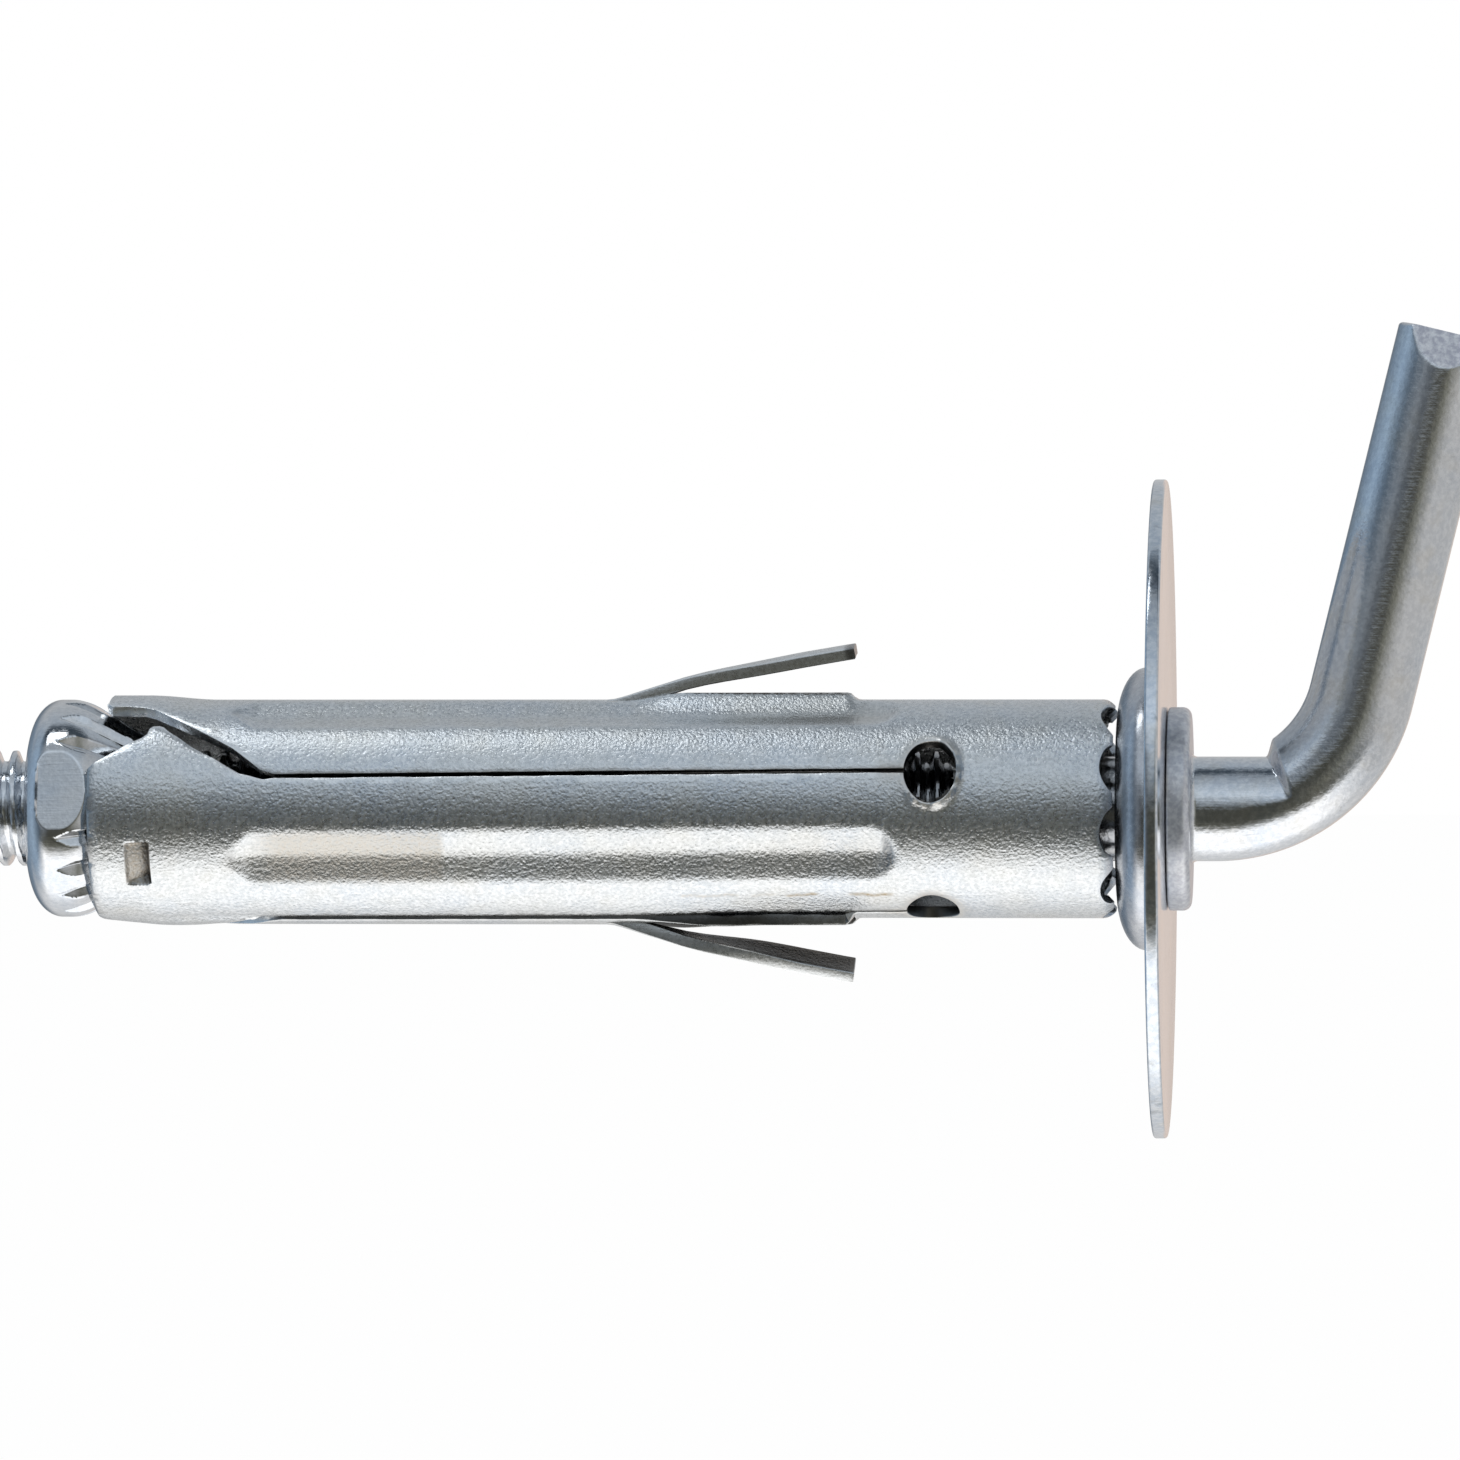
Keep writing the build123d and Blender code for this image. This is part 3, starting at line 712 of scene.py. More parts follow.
class ANCHOR_OT_sleeve(bpy.types.Operator):
    """Rolled sleeve: a flat blank is cut out, pressed, rolled into a tube, and its barbs are bent out"""

    bl_idname = "anchor.sleeve"
    bl_label = "Expansion sleeve"

    seam = -162.5
    slits = (17.5, -72.5, 107.5)
    wide = -27.5
    barbs = (90.0, -90.0)
    grooves = (-117.5, -27.5, 62.5, 152.5)
    scallops = 10
    scallop_at = 20.0
    step = 0.2
    # Mouth beside the wide segment: length from the mouth in mm and bearing in degrees
    segment_edge = (
        (9.15, 16.0), (7.92, 19.1), (6.5, 27.9), (5.25, 35.3), (4.1, 44.2), (3.85, 46.6), (3.6, 47.4),
        (3.25, 46.8), (3.08, 45.0), (3.0, 41.5), (2.75, 38.8), (2.07, 35.2), (1.0, 28.4), (0.3, 23.6),
        (0.0, 21.0),
    )
    tab_edge = (
        (8.97, 21.0), (7.48, 33.5), (5.5, 46.5), (3.9, 56.2), (3.3, 60.5), (2.7, 62.8), (1.9, 64.0),
        (0.95, 64.0),
    )
    tab_from = 0.7
    tab_side = 66.5
    slit_from = 9.7
    # Runs along the sleeve of the burrs beside the front slit and of the crease above the lower slit
    nick_runs = (
        (12.4, 13.0), (14.6, 15.9), (17.3, 18.0), (20.2, 21.4), (25.5, 31.4), (33.7, 36.4), (37.5, 37.8),
    )
    nick_below, nick_w, nick_h = 0.36, 0.08, 0.015
    crease_runs = ((30.5, 33.5, 0.6), (34.2, 35.4, 0.5), (36.0, 37.6, 1.4), (39.3, 41.4, 1.6))
    crease_at = -54.0
    # Blank in mm: scallops' radius, half width and sink, gaps at the seam and round the barbs, edge steps
    scallop_r, scallop_half, scallop_sink = 1.75, 1.4, 53.9 - 52.85
    scallop_step = 0.09
    seam_half = 0.06
    barb_gap = 0.08
    keyhole_steps = 40
    # Changes along the rolled sheet in mm, each with its start and its length
    flare_run = (2.6, 3.6)
    sprung_in, sprung_out = (0.5, 5.0), (27.0, 8.0)
    wind_run = (9.0, 33.0)
    lip_in, lip_out = (27.3, 3.4), (39.05, 0.6)
    strip_in, strip_out = (27.3, 6.0), (39.0, 0.45)
    # Tucked edges in mm: start, length and depth at the end, length and depth at the mouth
    end_tuck = (52.25, 0.6, 0.3)
    mouth_tuck = (0.42, 0.16)
    # Spread of the wide segment in degrees below the front, as start and length
    spread_run = (40.0, 32.0)
    # Sheet beside a barb in mm: the lip's place, width and reach, the strip's width, rise and tail
    lip_at, lip_w, lip_reach = 0.98, 0.8, 3.0
    strip_w, strip_soft, strip_more, strip_rise = 1.73, 0.04, 0.65, (0.9, 0.8)
    strip_tail, strip_tail_w = 0.25, 0.7
    # Grooves in mm: their two ends, and the power and softness of their section
    groove_head, groove_tail, groove_power, groove_soft = 1.5, 1.4, 1.5, 0.0016
    # Lanced dent in mm: run along the sleeve, half width, depths, and soft flanks
    dent_run, dent_half, dent_turn = (2.0, 3.15), 1.15, -2.0
    dent_shallow, dent_deep, dent_soft, dent_side = 0.15, 0.5, 0.16, 0.2
    # Masks along the sleeve in mm, each with its start, end and soft flank
    dent_stain = (1.9, 3.2, 0.3)
    tail_stain = (36.0, 41.5, 3.0)
    head_from, head_to = (8.0, 2.0), 18.4
    hole_stain = (41.0, 45.5, 1.0)
    # Painted shade on the slits' cut walls, weaker below the lower slit after pale_run.
    slit_dark = (9.3, 46.0, 0.5)
    pale_run = (34.0, 4.0)
    # Runs of painted shade: the upper barb's cut tip, the dent, the grooves' pointed tips and the mouth
    # beside the nut.
    blunt_run = (38.7, 0.25)
    pocket_run = (2.55, 0.5)
    tip_at, tip_w = 7.35, 0.22
    mouth_run, mouth_sides = (0.04, 0.22), (-70.0, 30.0, 6.0)
    # Painted highlight at the rounded end of the wide segment's groove.
    burnish_at, burnish_w = (-0.1, 43.5), (0.5, 5.0)
    # Rise of a barb's outer face above the wall, by distance from its root
    rise = (
        (0.0, 0.0), (0.4, 0.05), (0.9, 0.2), (1.9, 0.54), (2.9, 0.87), (3.95, 1.22), (5.0, 1.5), (6.0, 1.72),
        (7.55, 2.03), (10.1, 2.55), (12.2, 2.94), (12.9, 3.06),
    )

    def blank(self, s):
        """Outline of the flat blank and its two tongue slots, in mm, material on the left of each loop."""
        r = self.r
        half = s.slit / MM / 2
        full = (SLEEVE_HIGH[0] - SLEEVE_LOW[0]) / MM
        key_u = s.keyhole_from / MM
        key_a, key_b = s.keyhole_l / MM / 2, s.keyhole_w / MM / 2
        start = math.asin(half / key_b)

        def v(bearing):
            return r * math.radians(bearing)

        def keyhole(middle, start, end):
            turns = np.linspace(start, end, self.keyhole_steps)
            return [(key_u - key_a * math.cos(a), middle + key_b * math.sin(a)) for a in turns]

        def scallop_edge(low, high):
            pitch = 2.0 * math.pi * r / self.scallops
            at = v(self.scallop_at)
            edge = []
            for w in np.linspace(low, high, int((high - low) / self.scallop_step)):
                off = abs((w - at + pitch / 2) % pitch - pitch / 2)
                u = full
                if off < self.scallop_half:
                    u = full + self.scallop_sink - math.sqrt(self.scallop_r**2 - off**2)
                edge.append((u, w))
            return edge

        def slit_run(bearing, u_up, u_down):
            """In along the slit's upper side, round the keyhole and out along its lower side."""
            middle = v(bearing)
            ring = keyhole(middle, start, 2.0 * math.pi - start)
            return [(u_up, middle + half)] + ring + [(u_down, middle - half)]

        low, high = v(self.seam), v(self.seam + 360.0)
        seam_half = self.seam_half
        seam_end = math.pi - math.asin(seam_half / key_b)
        loop = [(self.tab_from, low + half)]
        loop += keyhole(low, start, seam_end)
        loop += scallop_edge(low + seam_half, high - seam_half)
        loop += keyhole(high, 2.0 * math.pi - seam_end, 2.0 * math.pi - start)
        loop += [(0.0, high - half)]
        loop += slit_run(self.slits[2], 0.0, self.tab_from)
        loop += [(self.tab_from, v(self.tab_side))]
        loop += [(u, v(b)) for u, b in reversed(self.tab_edge)]
        loop += slit_run(self.slits[0], self.slit_from, self.slit_from)
        loop += [(u, v(b)) for u, b in self.segment_edge]
        loop += [(u, v(2.0 * self.wide - b)) for u, b in reversed(self.segment_edge)]
        loop += slit_run(self.slits[1], self.slit_from, self.slit_from)
        loop += [(u, v(2.0 * self.wide - b)) for u, b in self.tab_edge]
        loop += [(self.tab_from, v(2.0 * self.wide - self.tab_side))]
        slots = []
        root, tip, wide = s.barb_from / MM, s.barb_to / MM, s.barb_w / MM / 2
        gap = self.barb_gap
        for bearing in self.barbs:
            c = v(bearing)
            slots.append([
                (root, c + wide + gap), (tip + gap, c + wide + gap),
                (tip + gap, c - wide - gap), (root, c - wide - gap),
                (root, c - wide), (tip, c - wide), (tip, c + wide), (root, c + wide),
            ])
        return [loop] + slots

    def surface(self, s, u, v, tongue):
        """Rolled place of points of the blank, outside of the sheet, in mm."""
        r = self.r
        angle = v / r
        shift = s.flare / MM * (1.0 - eased(u, self.flare_run))
        start, run, depth = self.end_tuck
        shift = shift - depth * np.maximum((u - start) / run, 0.0) ** 2
        run, depth = self.mouth_tuck
        shift = shift - depth * np.maximum((run - u) / run, 0.0) ** 2
        bearing = np.degrees(angle)
        lower = window(bearing, self.seam, self.slits[1], 0.6)
        beside = window(bearing, self.slits[1], self.slits[0], 0.6) * eased(-bearing, self.spread_run)
        sprung = lower * s.spring / MM + beside * s.spread / MM
        shift = shift + sprung * eased(u, self.sprung_in) * (1.0 - eased(u, self.sprung_out))
        base = shift.copy()
        press = self.pressing(s, u, angle)
        dent = self.dent(u, angle)
        lips = np.zeros_like(u)
        for bearing in self.barbs:
            t = v - r * math.radians(bearing)
            beside = hump(-t, self.lip_at, self.lip_w) * (t < 0.0) * (t > -self.lip_reach)
            strip = window(t, 0.0, self.strip_w, self.strip_soft)
            strip = strip * (1.0 + self.strip_more * eased(t, self.strip_rise))
            tail = self.strip_tail * hump(t, self.strip_w, self.strip_tail_w) * (t > self.strip_w)
            along = eased(u, self.lip_in) * (1.0 - eased(u, self.lip_out))
            along_strip = eased(u, self.strip_in) * (1.0 - eased(u, self.strip_out))
            lips = lips + s.lip / MM * (beside * along + (strip + tail) * along_strip)
        radius = r + shift - press - dent + lips + self.burr(s, u, v) + self.nick_h * self.nicks(u, v)
        x = SLEEVE_LOW[0] / MM + u
        start, run = self.wind_run
        wind = s.wind * np.clip((u - start) / run, 0.0, 1.0)
        place = np.stack([x, -radius * np.cos(angle + wind), radius * np.sin(angle + wind)], axis=1)
        root = s.barb_from / MM
        span = s.barb_to / MM - root
        rise_at, rise_by = np.array(self.rise).T
        for bearing in self.barbs:
            t = v - r * math.radians(bearing)
            on = tongue & (np.abs(t) < 2.0)
            a = math.radians(bearing) + wind[on]
            reach = u[on] - root
            up = np.interp(reach, rise_at, rise_by)
            up = up - (s.barb_ease / MM * (reach / span) if bearing > 0.0 else 0.0)
            twist = np.tan((s.barb_twist if bearing > 0.0 else s.low_twist) * smooth(reach / span / 0.8))
            out = (r + base[on]) * np.cos(t[on] / r) + up + t[on] * twist
            across = r * np.sin(t[on] / r)
            place[on, 1] = -np.cos(a) * out + np.sin(a) * across
            place[on, 2] = np.sin(a) * out + np.cos(a) * across
        return place

    def pressing(self, s, u, angle):
        """Depth of the pressed grooves: boat-shaped towards the mouth, rounded at the other end."""
        deep = s.groove_d / MM
        start = s.groove_from / MM
        end = start + s.groove_l / MM
        head = np.clip((u - start) / self.groove_head, -1.0, 1.0)
        tail = np.clip((u - end + self.groove_tail) / self.groove_tail, 0.0, 3.0)
        floor = deep * (np.sign(head) * np.abs(head) ** self.groove_power - tail**2)
        total = np.zeros_like(u)
        for bearing in self.grooves:
            t = self.r * (angle - math.radians(bearing))
            z = floor - deep * np.abs(t / (s.groove_w / MM / 2)) ** self.groove_power
            z = np.maximum(z, -1.0)
            total = total + 0.5 * (z + np.sqrt(z * z + self.groove_soft)) * (z > -0.35)
        return total

    def dent(self, u, angle):
        """Depth of the lanced dent: shallow towards the mouth, deep at its upright wall."""
        t = self.r * (angle - math.radians(self.wide + self.dent_turn))
        start, end = self.dent_run
        half = self.dent_half
        depth = self.dent_shallow + self.dent_deep * np.clip((u - start) / (end - start), 0.0, 1.0)
        return depth * window(u, start, end, self.dent_soft) * window(t, -half, half, self.dent_side)

    def wear(self, loop):
        """Share of the full rounding at each point of a cut edge: long worn runs between sharp ones."""
        u, v = loop[:, 0], loop[:, 1]
        run = 0.5 + 0.3 * np.sin(1.3 * u + 2.3 * v + 0.4) + 0.25 * np.sin(3.1 * u - 1.1 * v)
        return 0.45 + 0.65 * smooth((run - 0.3) / 0.5)

    def burr(self, s, u, v):
        """Ragged ridge that the punch left round the front keyhole, highest away from the slit."""
        du = (u - s.keyhole_from / MM) / (s.keyhole_l / MM / 2)
        dv = (v - self.r * math.radians(self.slits[0])) / (s.keyhole_w / MM / 2)
        off = (np.hypot(du, dv) - 1.0) * 1.5
        way = np.arctan2(dv, du)
        ragged = 0.66 + 0.2 * np.sin(5.0 * way + 0.7) + 0.14 * np.sin(14.0 * way + 2.0 * np.sin(3.0 * way))
        side = smooth((np.cos(way + 0.6) + 0.8) / 1.2)
        return s.burr / MM * side * ragged * hump(off, 0.05, 0.24)

    def nicks(self, u, v):
        """Short burrs along the lower side of the front slit."""
        off = v - self.r * math.radians(self.slits[0])
        on = sum(window(u, start, end, 0.2) for start, end in self.nick_runs)
        return on * hump(off, -self.nick_below, self.nick_w)

    def execute(self, context):
        s = context.scene.anchor_sleeve
        finish = context.scene.anchor_finish
        self.r = s.outer_d / MM / 2
        edge = s.edge / MM
        sheet = s.sheet / MM
        loops = [dense_loop(loop, self.step) for loop in self.blank(s)]
        flat, links, outward = [], [], []
        for i, loop in enumerate(loops):
            out = mitres(loop)
            first = len(flat)
            ragged = edge * (self.wear(loop)[:, None] if i == 0 else 0.6)
            flat.extend(loop - ragged * out)
            outward.extend(ragged * out)
            links.extend((first + i, first + (i + 1) % len(loop)) for i in range(len(loop)))
        rim = len(flat)
        flat = np.array(flat)
        outward = np.array(outward)
        inner = self.fill_points(s, flat, links)
        every = np.concatenate([flat, inner])
        cdt = delaunay_2d_cdt([Vector(p) for p in every], links, [], 0, 1e-7)
        spots = np.array([tuple(p) for p in cdt[0]])
        sources = cdt[3]
        if len(spots) != len(every):
            raise RuntimeError(f"the blank's outline crosses itself: {len(every)} became {len(spots)}")
        order = np.array([source[0] for source in sources])
        tris = order[np.array(cdt[2])]
        on_rim = (tris < rim).all(axis=1)
        middles = every[tris[on_rim]].mean(axis=1)
        keep = np.ones(len(tris), bool)
        keep[on_rim] = inside(middles, flat, links)
        tris = tris[keep]
        tongue = self.is_tongue(s, every)
        outside = self.surface(s, every[:, 0], every[:, 1], tongue)
        normal = self.normals(s, every, tongue)
        total = len(every)
        worn = np.linalg.norm(outward, axis=1)[:, None]
        around = every[:rim] + 0.7 * outward
        rim_tongue = tongue[:rim]
        top = self.surface(s, around[:, 0], around[:, 1], rim_tongue) - 0.3 * worn * normal[:rim]
        side = every[:rim] + outward
        wall = self.surface(s, side[:, 0], side[:, 1], rim_tongue)
        upper = wall - worn * normal[:rim]
        lower = wall - (sheet - worn) * normal[:rim]
        points = np.concatenate([outside, outside - sheet * normal, top, upper, lower]) * MM
        faces = [tuple(t) for t in tris]
        faces += [(a + total, c + total, b + total) for a, b, c in tris]
        rows = (0, 2 * total, 2 * total + rim, 2 * total + 2 * rim, total)
        for a, b in links:
            for i in range(4):
                faces.append((rows[i] + b, rows[i] + a, rows[i + 1] + a, rows[i + 1] + b))
        look = {"cool": 0.45, "warm": 0.18, "grain": 6.8, "speckle": 0.55, "dull": 0.05, "bump": 0.034}
        look.update(masks=True, grimed=True, zinc=(0.61, 0.625, 0.625))
        material = zinc_material("Zinc sheet", finish, look)
        piece = new_piece("RolledSleeve", points, faces, material, "sleeve", "expansion_sleeve", 38.0)
        self.paint(s, piece, every, flat, links, tongue)
        return {"FINISHED"}

    def paint(self, s, piece, every, flat, links, tongue):
        """Masks for cut edges lightened by wear and painted highlight, pressed grooves, stains, and painted
        shade inside the sheet, in slits and recesses and at the mouth.
        """
        total, rim = len(every), len(flat)
        gap = edge_gap(every, flat, links)
        near = hump(gap, 0.0, 0.1)
        u, angle = every[:, 0], every[:, 1] / self.r
        press = self.pressing(s, u, angle) / (s.groove_d / MM)
        bearing = np.degrees(angle)
        dent = self.dent(u, angle)
        floor = np.clip(press, 0.0, 1.0)
        on_wide = window(bearing, self.wide - 20.0, self.wide + 20.0, 2.0)
        stain = 0.9 * window(u, *self.dent_stain) * (dent > 0.05)
        tail = 0.12 * window(u, *self.tail_stain) * floor
        head = 0.6 * eased(u, self.head_from) * (u < self.head_to) * np.clip(press * 4.0, 0.0, 1.0) * on_wide
        hole = 0.5 * hump(gap, 0.0, 0.35) * window(u, *self.hole_stain)
        wavy = bearing - self.crease_at - 0.5 * np.sin(2.9 * u) - 0.3 * np.sin(7.1 * u)
        runs = sum(window(u, start, end, 0.4) * share for start, end, share in self.crease_runs)
        stain = np.maximum.reduce([stain, tail, head, hole, runs * hump(wavy, 0.0, 1.0)])
        end = (s.groove_from + s.groove_l) / MM
        # Painted highlight at the wide groove's end and bright painted burrs along the front slit, lightened
        # through the cut-edge mask.
        burnish = hump(u - end, self.burnish_at[0], self.burnish_w[0])
        burnish = burnish * hump(bearing, self.burnish_at[1], self.burnish_w[1])
        near = np.maximum.reduce([near, burnish, self.nicks(u, every[:, 1])])
        ones, zeros = np.ones(rim), np.zeros(rim)
        # Painted shade on the slits' cut walls, paler below the lower slit.
        slit = window(u[:rim], *self.slit_dark) * ~tongue[:rim]
        below = window(bearing[:rim], self.slits[1] - 3.0, self.slits[1], 0.2)
        slit = slit * (1.0 - 0.5 * below * eased(u[:rim], self.pale_run))
        # Painted shade: the upper barb's cut tip, the dent, the grooves' pointed tips, the wide groove's
        # rounded end and the sleeve's mouth beside the nut.
        blunt = 0.85 * eased(u, self.blunt_run) * tongue * (angle > 0.0)
        pocket = (dent > 0.06) * (0.25 + 0.5 * eased(u, self.pocket_run))
        tip = 2.0 * hump(u, self.tip_at, self.tip_w) * floor
        crescent = 0.55 * window(u, end - 0.75, end - 0.2, 0.3) * np.clip(press * 3.0, 0.0, 1.0) * on_wide
        mouth = 0.6 * (1.0 - eased(u, self.mouth_run)) * window(bearing, *self.mouth_sides)
        edges = np.maximum(mouth, blunt)
        shade_spots = np.maximum.reduce([pocket, np.clip(tip, 0.0, 0.6), crescent, edges])
        # Painted shade on the sheet's inner face, deepest under the barbs.
        under = np.where(tongue, 1.05, 0.6)
        walls = np.maximum(slit, edges[:rim])
        dark = np.concatenate([shade_spots, under, edges[:rim], walls, np.maximum(slit, blunt[:rim])])
        add_mask(piece, "grime", dark)
        count = len(piece.data.vertices)
        if count != 2 * total + 3 * rim:
            raise RuntimeError("the sleeve's mesh lost points")
        add_mask(piece, "cut_edge", np.concatenate([near, near, ones, ones, ones]))
        add_mask(piece, "pressed", np.concatenate([press, press, zeros, zeros, zeros]))
        add_mask(piece, "stain", np.concatenate([stain, stain, stain[:rim], stain[:rim], stain[:rim]]))

    def is_tongue(self, s, every):
        """Which points of the blank lie on a barb."""
        root, tip, wide = s.barb_from / MM, s.barb_to / MM, s.barb_w / MM / 2
        on = np.zeros(len(every), bool)
        for bearing in self.barbs:
            t = every[:, 1] - self.r * math.radians(bearing)
            on |= (np.abs(t) < wide + 0.04) & (every[:, 0] > root) & (every[:, 0] < tip + 0.04)
        return on

    def normals(self, s, every, tongue):
        """Outward directions of the sheet, from small steps on its surface."""
        h = 0.02
        u, v = every[:, 0], every[:, 1]
        along = self.surface(s, u + h, v, tongue) - self.surface(s, u - h, v, tongue)
        round_ = self.surface(s, u, v + h, tongue) - self.surface(s, u, v - h, tongue)
        normal = np.cross(along, round_)
        return normal / np.linalg.norm(normal, axis=1)[:, None]

    def fill_points(self, s, flat, links):
        """Points inside the blank: an even net, finer at the dent and the grooves' ends."""
        r = self.r
        full = (SLEEVE_HIGH[0] - SLEEVE_LOW[0]) / MM
        low, high = r * math.radians(self.seam), r * math.radians(self.seam + 360.0)
        fine = [(1.5, 3.8, self.wide - 18.0, self.wide + 14.0, 0.09)]
        fine.append((41.5, 45.6, self.slits[0] - 24.0, self.slits[0] + 24.0, 0.1))
        fine.append((11.5, 38.6, self.slits[0] - 6.2, self.slits[0] - 1.4, 0.11))
        fine.append((29.5, 41.4, self.crease_at - 4.0, self.crease_at + 4.0, 0.1))
        for bearing in self.grooves:
            fine.append((6.6, 9.4, bearing - 15.0, bearing + 15.0, 0.15))
            fine.append((39.6, 42.2, bearing - 17.0, bearing + 17.0, 0.18))
        for bearing in self.barbs:
            fine.append((38.6, 40.2, bearing - 24.0, bearing + 17.0, 0.17))
        fine = [(a, b, r * math.radians(c), r * math.radians(d), e) for a, b, c, d, e in fine]
        nets = [net(0.0, full, low, high, 0.36, 0.28)] + [net(a, b, c, d, e, e) for a, b, c, d, e in fine]
        held = np.zeros(len(nets[0]), bool)
        for a, b, c, d, e in fine:
            p = nets[0]
            held |= (p[:, 0] > a - e) & (p[:, 0] < b + e) & (p[:, 1] > c - e) & (p[:, 1] < d + e)
        nets[0] = nets[0][~held]
        points = np.concatenate(nets)
        points = points[inside(points, flat, links)]
        return points[edge_gap(points, flat, links) > 0.11]


def net(u0, u1, v0, v1, du, dv):
    """Staggered net of points over a rectangle."""
    points = []
    for i, u in enumerate(np.arange(u0 + du / 2, u1, du)):
        shift = dv / 2 if i % 2 else 0.0
        for w in np.arange(v0 + dv / 4 + shift, v1, dv):
            points.append((u, w))
    return np.array(points)


def edge_gap(points, flat, links):
    """Distance from each point to the nearest cut edge."""
    near = [flat[a] + (flat[b] - flat[a]) * share for a, b in links for share in (0.0, 0.25, 0.5, 0.75)]
    tree = kdtree.KDTree(len(near))
    for i, p in enumerate(near):
        tree.insert((p[0], p[1], 0.0), i)
    tree.balance()
    return np.array([tree.find((p[0], p[1], 0.0))[2] for p in points])


def dense_loop(loop, step):
    """A closed loop with no side longer than step and no double points."""
    points = []
    count = len(loop)
    for i in range(count):
        a, b = np.array(loop[i]), np.array(loop[(i + 1) % count])
        size = np.linalg.norm(b - a)
        if size < 1e-6:
            continue
        parts = max(1, int(math.ceil(size / step)))
        points.extend(a + (b - a) * k / parts for k in range(parts))
    return np.array(points)


def mitres(loop):
    """Direction out of the material at each point of a loop that keeps the material on its left."""
    ahead = np.roll(loop, -1, axis=0) - loop
    ahead /= np.linalg.norm(ahead, axis=1)[:, None]
    behind = np.roll(ahead, 1, axis=0)
    a = np.stack([ahead[:, 1], -ahead[:, 0]], axis=1)
    b = np.stack([behind[:, 1], -behind[:, 0]], axis=1)
    scale = np.maximum(1.0 + (a * b).sum(axis=1), 0.4)
    return (a + b) / scale[:, None]


def inside(points, flat, links):
    """Which points lie inside the loops, by counting crossings."""
    a = flat[[i for i, j in links]]
    b = flat[[j for i, j in links]]
    result = np.zeros(len(points), bool)
    for start in range(0, len(points), 2000):
        p = points[start:start + 2000]
        y = p[:, 1][:, None]
        crosses = (a[None, :, 1] > y) != (b[None, :, 1] > y)
        drop = b[:, 1] - a[:, 1]
        drop = np.where(np.abs(drop) < 1e-12, 1e-12, drop)
        at = a[None, :, 0] + (y - a[None, :, 1]) * (b[:, 0] - a[:, 0])[None, :] / drop[None, :]
        result[start:start + 2000] = ((crosses & (p[:, 0][:, None] < at)).sum(axis=1) % 2) == 1
    return result


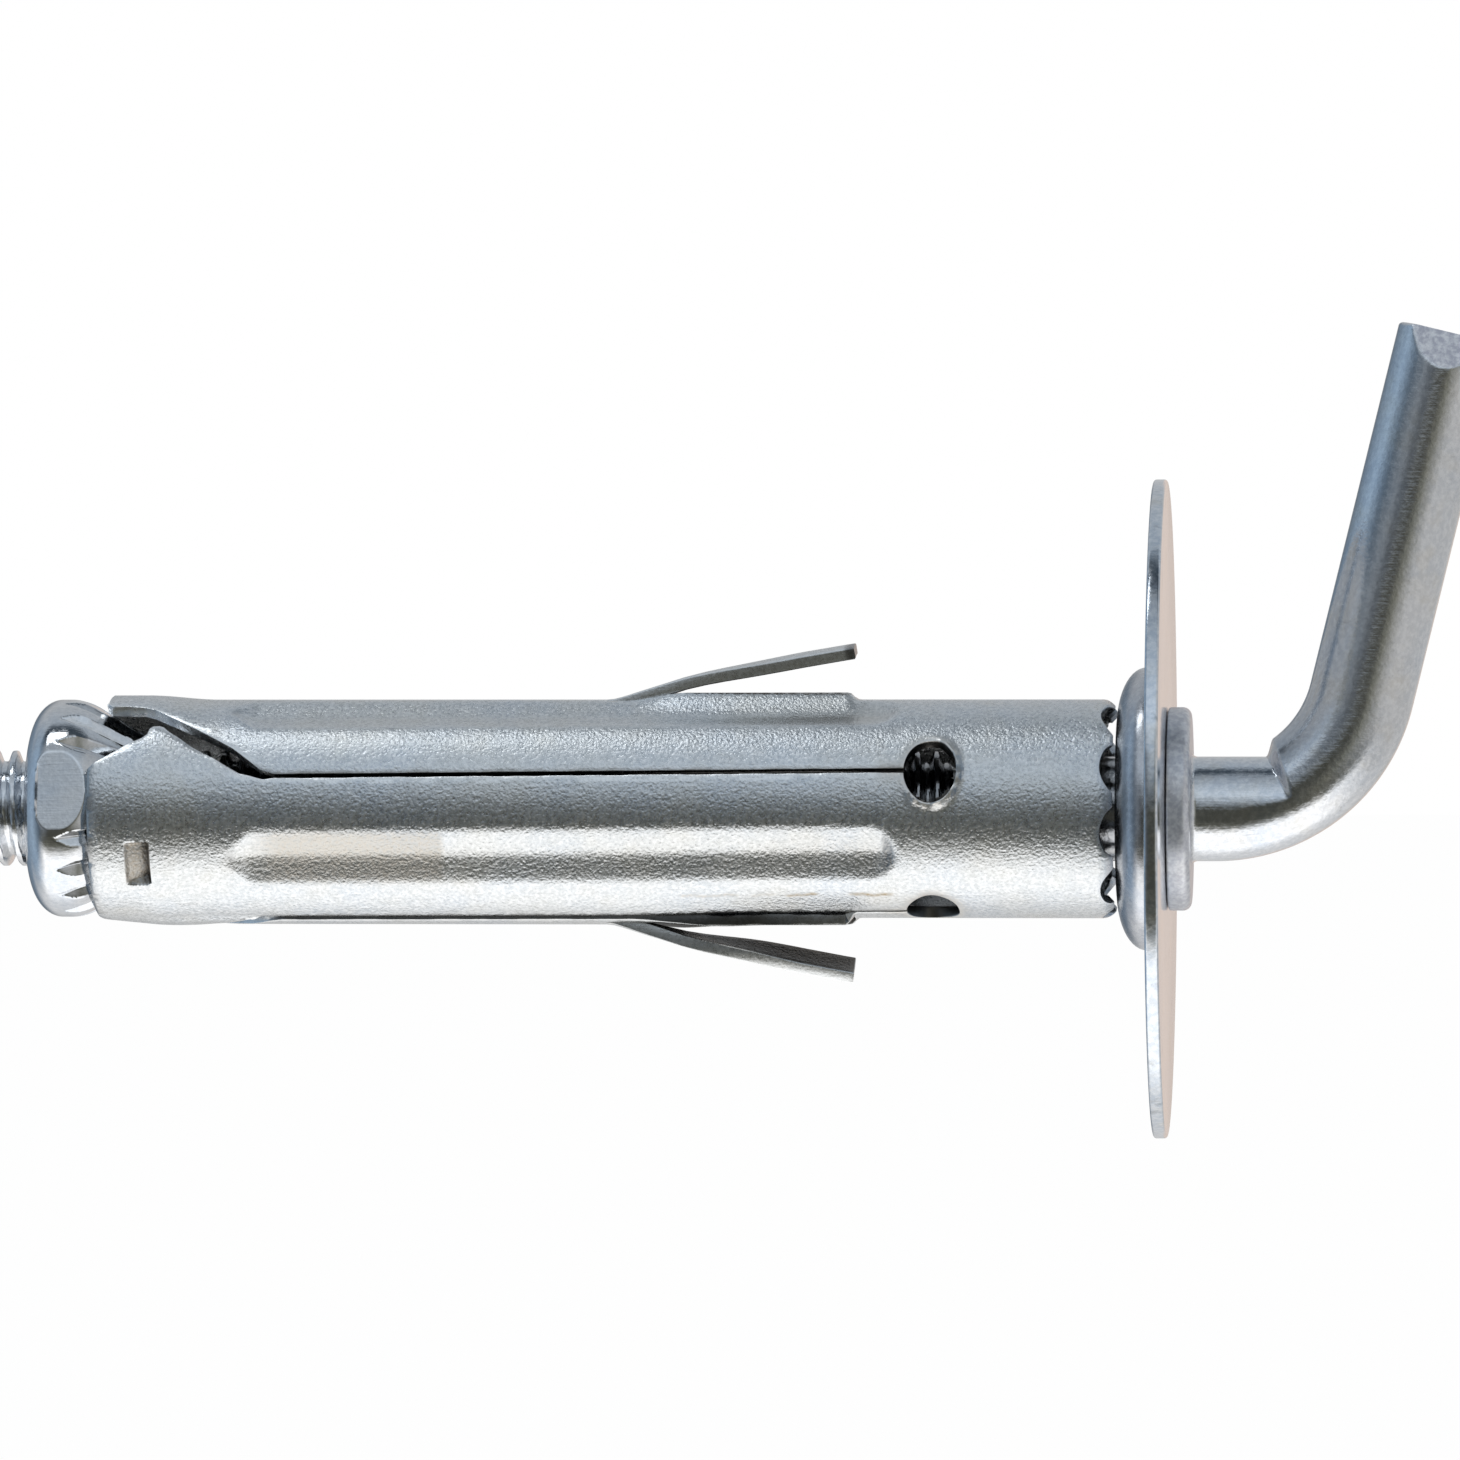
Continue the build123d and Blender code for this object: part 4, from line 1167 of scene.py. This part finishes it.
class ANCHOR_OT_stage(bpy.types.Operator):
    """White stage: floor, surrounding light, overhead lamp and camera"""

    bl_idname = "anchor.stage"
    bl_label = "Stage"

    # Tints of the studio's cards
    plain = (1.0, 1.0, 1.0)
    warm = (1.02, 1.02, 0.94)
    cool = (0.95, 1.0, 1.05)
    blue = (0.88, 1.0, 1.12)
    rosy = (1.06, 0.98, 0.93)
    # Studio round the axis: angle from the camera, upwards, then level and tint of the card
    bands = (
        (-180, 0.65, plain),
        (-120, 0.8, plain),
        (-100, 1.0, plain),
        (-55, 1.0, plain),
        (-42, 0.35, warm),
        (-30, 0.25, warm),
        (0, 0.25, warm),
        (30, 0.75, cool),
        (80, 0.5, cool),
        (86, 0.25, blue),
        (96, 0.25, blue),
        (104, 0.6, cool),
        (180, 0.65, plain),
    )
    back_card = (0.7, rosy)
    # The same for level directions, from left to right round the camera
    sides = (
        (-180, 0.3, cool),
        (-130, 0.5, blue),
        (-95, 0.6, blue),
        (-60, 0.35, blue),
        (-35, 0.45, cool),
        (-15, 0.3, cool),
        (0, 0.25, plain),
        (20, 0.4, warm),
        (50, 0.65, plain),
        (165, 0.65, plain),
        (172, *back_card),
        (178, *back_card),
        (180, 0.6, plain),
    )

    # Share of plain white that the camera sees on the floor
    floor_glow = 0.985

    def shown(self, level, tint):
        """A card's level and tint as linear light."""
        return (*((level * part) ** 2.2 for part in tint), 1)

    def bands_of(self, n, angle, bands):
        """Colour of a ring of bands at an angle, in linear light."""
        share = n.add("ShaderNodeMapRange", {"clamp": True}, i0=angle, i1=-math.pi, i2=math.pi).outputs[0]
        ramp = n.add("ShaderNodeValToRGB", Fac=share)
        stops = ramp.color_ramp.elements
        while len(stops) > 1:
            stops.remove(stops[-1])
        for i, (at, level, tint) in enumerate(bands):
            place = (at + 180.0) / 360.0
            stop = stops[0] if i == 0 else stops.new(place)
            stop.position = place
            stop.color = self.shown(level, tint)
        return ramp.outputs[0]

    def world(self, context, s):
        """Studio light: white to the camera, bands of light and shade to the metal."""
        world = bpy.data.worlds.new("Studio")
        context.scene.world = world
        world.use_nodes = True
        tree = world.node_tree
        tree.nodes.clear()
        n = Nodes(tree)
        way = n.add("ShaderNodeTexCoord").outputs["Generated"]
        parts = n.add("ShaderNodeSeparateXYZ", Vector=way).outputs
        ahead = n.math("MULTIPLY", parts["Y"], -1.0)
        tall = self.bands_of(n, n.math("ARCTAN2", parts["Z"], ahead), self.bands)
        level = self.bands_of(n, n.math("ARCTAN2", parts["X"], ahead), self.sides)
        flat = n.math("ABSOLUTE", parts["Z"])
        aside = n.ramp(n.math("ABSOLUTE", parts["X"]), 0.1, 0.3)
        levelled = n.math("MULTIPLY", n.ramp(flat, 0.55, 0.25), aside)
        wide = n.ramp(n.math("ABSOLUTE", parts["X"]), 0.5, 0.85)
        colour = n.mix(n.math("MAXIMUM", levelled, wide), tall, level)
        card = n.math("MULTIPLY", n.ramp(parts["Y"], 0.9, 0.98), n.ramp(parts["X"], -0.01, 0.02))
        colour = n.mix(card, colour, self.shown(*self.back_card))
        seen = n.add("ShaderNodeLightPath").outputs["Is Camera Ray"]
        studio = n.add("ShaderNodeBackground", Color=colour, Strength=s.world)
        white = n.add("ShaderNodeBackground", Color=(1, 1, 1, 1), Strength=1.0)
        mix = n.add("ShaderNodeMixShader", i0=seen, i1=studio.outputs[0], i2=white.outputs[0])
        out = n.add("ShaderNodeOutputWorld")
        tree.links.new(mix.outputs[0], out.inputs[0])

    def floor(self, context, s):
        """Pale floor that keeps a faint shadow."""
        half = 4.0
        mesh = bpy.data.meshes.new("Floor")
        z = -s.floor
        corners = [(-half, -half, z), (half, -half, z), (half, half, z), (-half, half, z)]
        mesh.from_pydata(corners, [], [(0, 1, 2, 3)])
        floor = bpy.data.objects.new("Floor", mesh)
        context.scene.collection.objects.link(floor)
        floor.visible_glossy = False
        material = bpy.data.materials.new("White table")
        material.use_nodes = True
        tree = material.node_tree
        tree.nodes.clear()
        n = Nodes(tree)
        matt = n.add("ShaderNodeBsdfDiffuse", Color=(0.9, 0.9, 0.9, 1))
        glow = n.add("ShaderNodeEmission", Color=(1, 1, 1, 1), Strength=1.0)
        seen = n.add("ShaderNodeLightPath").outputs["Is Camera Ray"]
        share = n.math("MULTIPLY", seen, self.floor_glow)
        mix = n.add("ShaderNodeMixShader", i0=share, i1=matt.outputs[0], i2=glow.outputs[0])
        out = n.add("ShaderNodeOutputMaterial")
        tree.links.new(mix.outputs[0], out.inputs[0])
        mesh.materials.append(material)

    def execute(self, context):
        s = context.scene.anchor_stage
        context.scene.view_settings.view_transform = "Standard"
        self.world(context, s)
        self.floor(context, s)
        lamp = bpy.data.lights.new("Overhead", "AREA")
        lamp.shape = "RECTANGLE"
        lamp.size, lamp.size_y = s.lamp_long, s.lamp_wide
        lamp.energy = s.lamp
        lamp.color = (0.93, 0.97, 1.0)
        top = bpy.data.objects.new("Overhead", lamp)
        context.scene.collection.objects.link(top)
        aim = Vector((s.lamp_x, 0.0, 0.0))
        top.location = aim + s.lamp_far * Vector((0.0, -math.cos(s.lamp_up), math.sin(s.lamp_up)))
        top.rotation_euler = (aim - top.location).to_track_quat("-Z", "Y").to_euler()
        camera = bpy.data.cameras.new("Camera")
        camera.lens = s.lens
        camera.sensor_width = 36.0
        camera.clip_start = 0.01
        camera.clip_end = 20.0
        eye = bpy.data.objects.new("Camera", camera)
        context.scene.collection.objects.link(eye)
        target = Vector((s.target_x, 0.0, s.target_z))
        flat = math.cos(s.elevation)
        way = Vector((math.sin(s.azimuth) * flat, -math.cos(s.azimuth) * flat, math.sin(s.elevation)))
        eye.location = target + way * s.distance
        eye.rotation_euler = (-way).to_track_quat("-Z", "Y").to_euler()
        context.scene.camera = eye
        return {"FINISHED"}


class ANCHOR_PT_sidebar(bpy.types.Panel):
    """Lists the anchor's operators and sizes"""

    bl_idname = "ANCHOR_PT_sidebar"
    bl_label = "Hook expansion anchor"
    bl_space_type = "VIEW_3D"
    bl_region_type = "UI"
    bl_category = "Anchor"

    def draw(self, context):
        for operator in OPERATORS:
            self.layout.operator(operator.bl_idname)
        for name, kind in SETTINGS:
            box = self.layout.box()
            box.label(text=kind.__doc__)
            for prop in kind.__annotations__:
                box.prop(getattr(context.scene, name), prop)


SETTINGS = (
    ("anchor_hook", AnchorHookSizes),
    ("anchor_washers", AnchorWasherSizes),
    ("anchor_sleeve", AnchorSleeveSizes),
    ("anchor_nut", AnchorNutSizes),
    ("anchor_finish", AnchorFinish),
    ("anchor_stage", AnchorStage),
)
OPERATORS = (ANCHOR_OT_hook, ANCHOR_OT_washers, ANCHOR_OT_nut, ANCHOR_OT_sleeve, ANCHOR_OT_stage)


def register():
    for name, kind in SETTINGS:
        bpy.utils.register_class(kind)
        setattr(bpy.types.Scene, name, bpy.props.PointerProperty(type=kind))
    for kind in (*OPERATORS, ANCHOR_PT_sidebar):
        bpy.utils.register_class(kind)


def unregister():
    for kind in reversed((*OPERATORS, ANCHOR_PT_sidebar)):
        bpy.utils.unregister_class(kind)
    for name, kind in reversed(SETTINGS):
        delattr(bpy.types.Scene, name)
        bpy.utils.unregister_class(kind)


def main():
    register()
    bpy.ops.anchor.hook()
    bpy.ops.anchor.washers()
    bpy.ops.anchor.nut()
    bpy.ops.anchor.sleeve()
    bpy.ops.anchor.stage()
    bpy.context.view_layer.update()


if __name__ == "__main__":
    main()
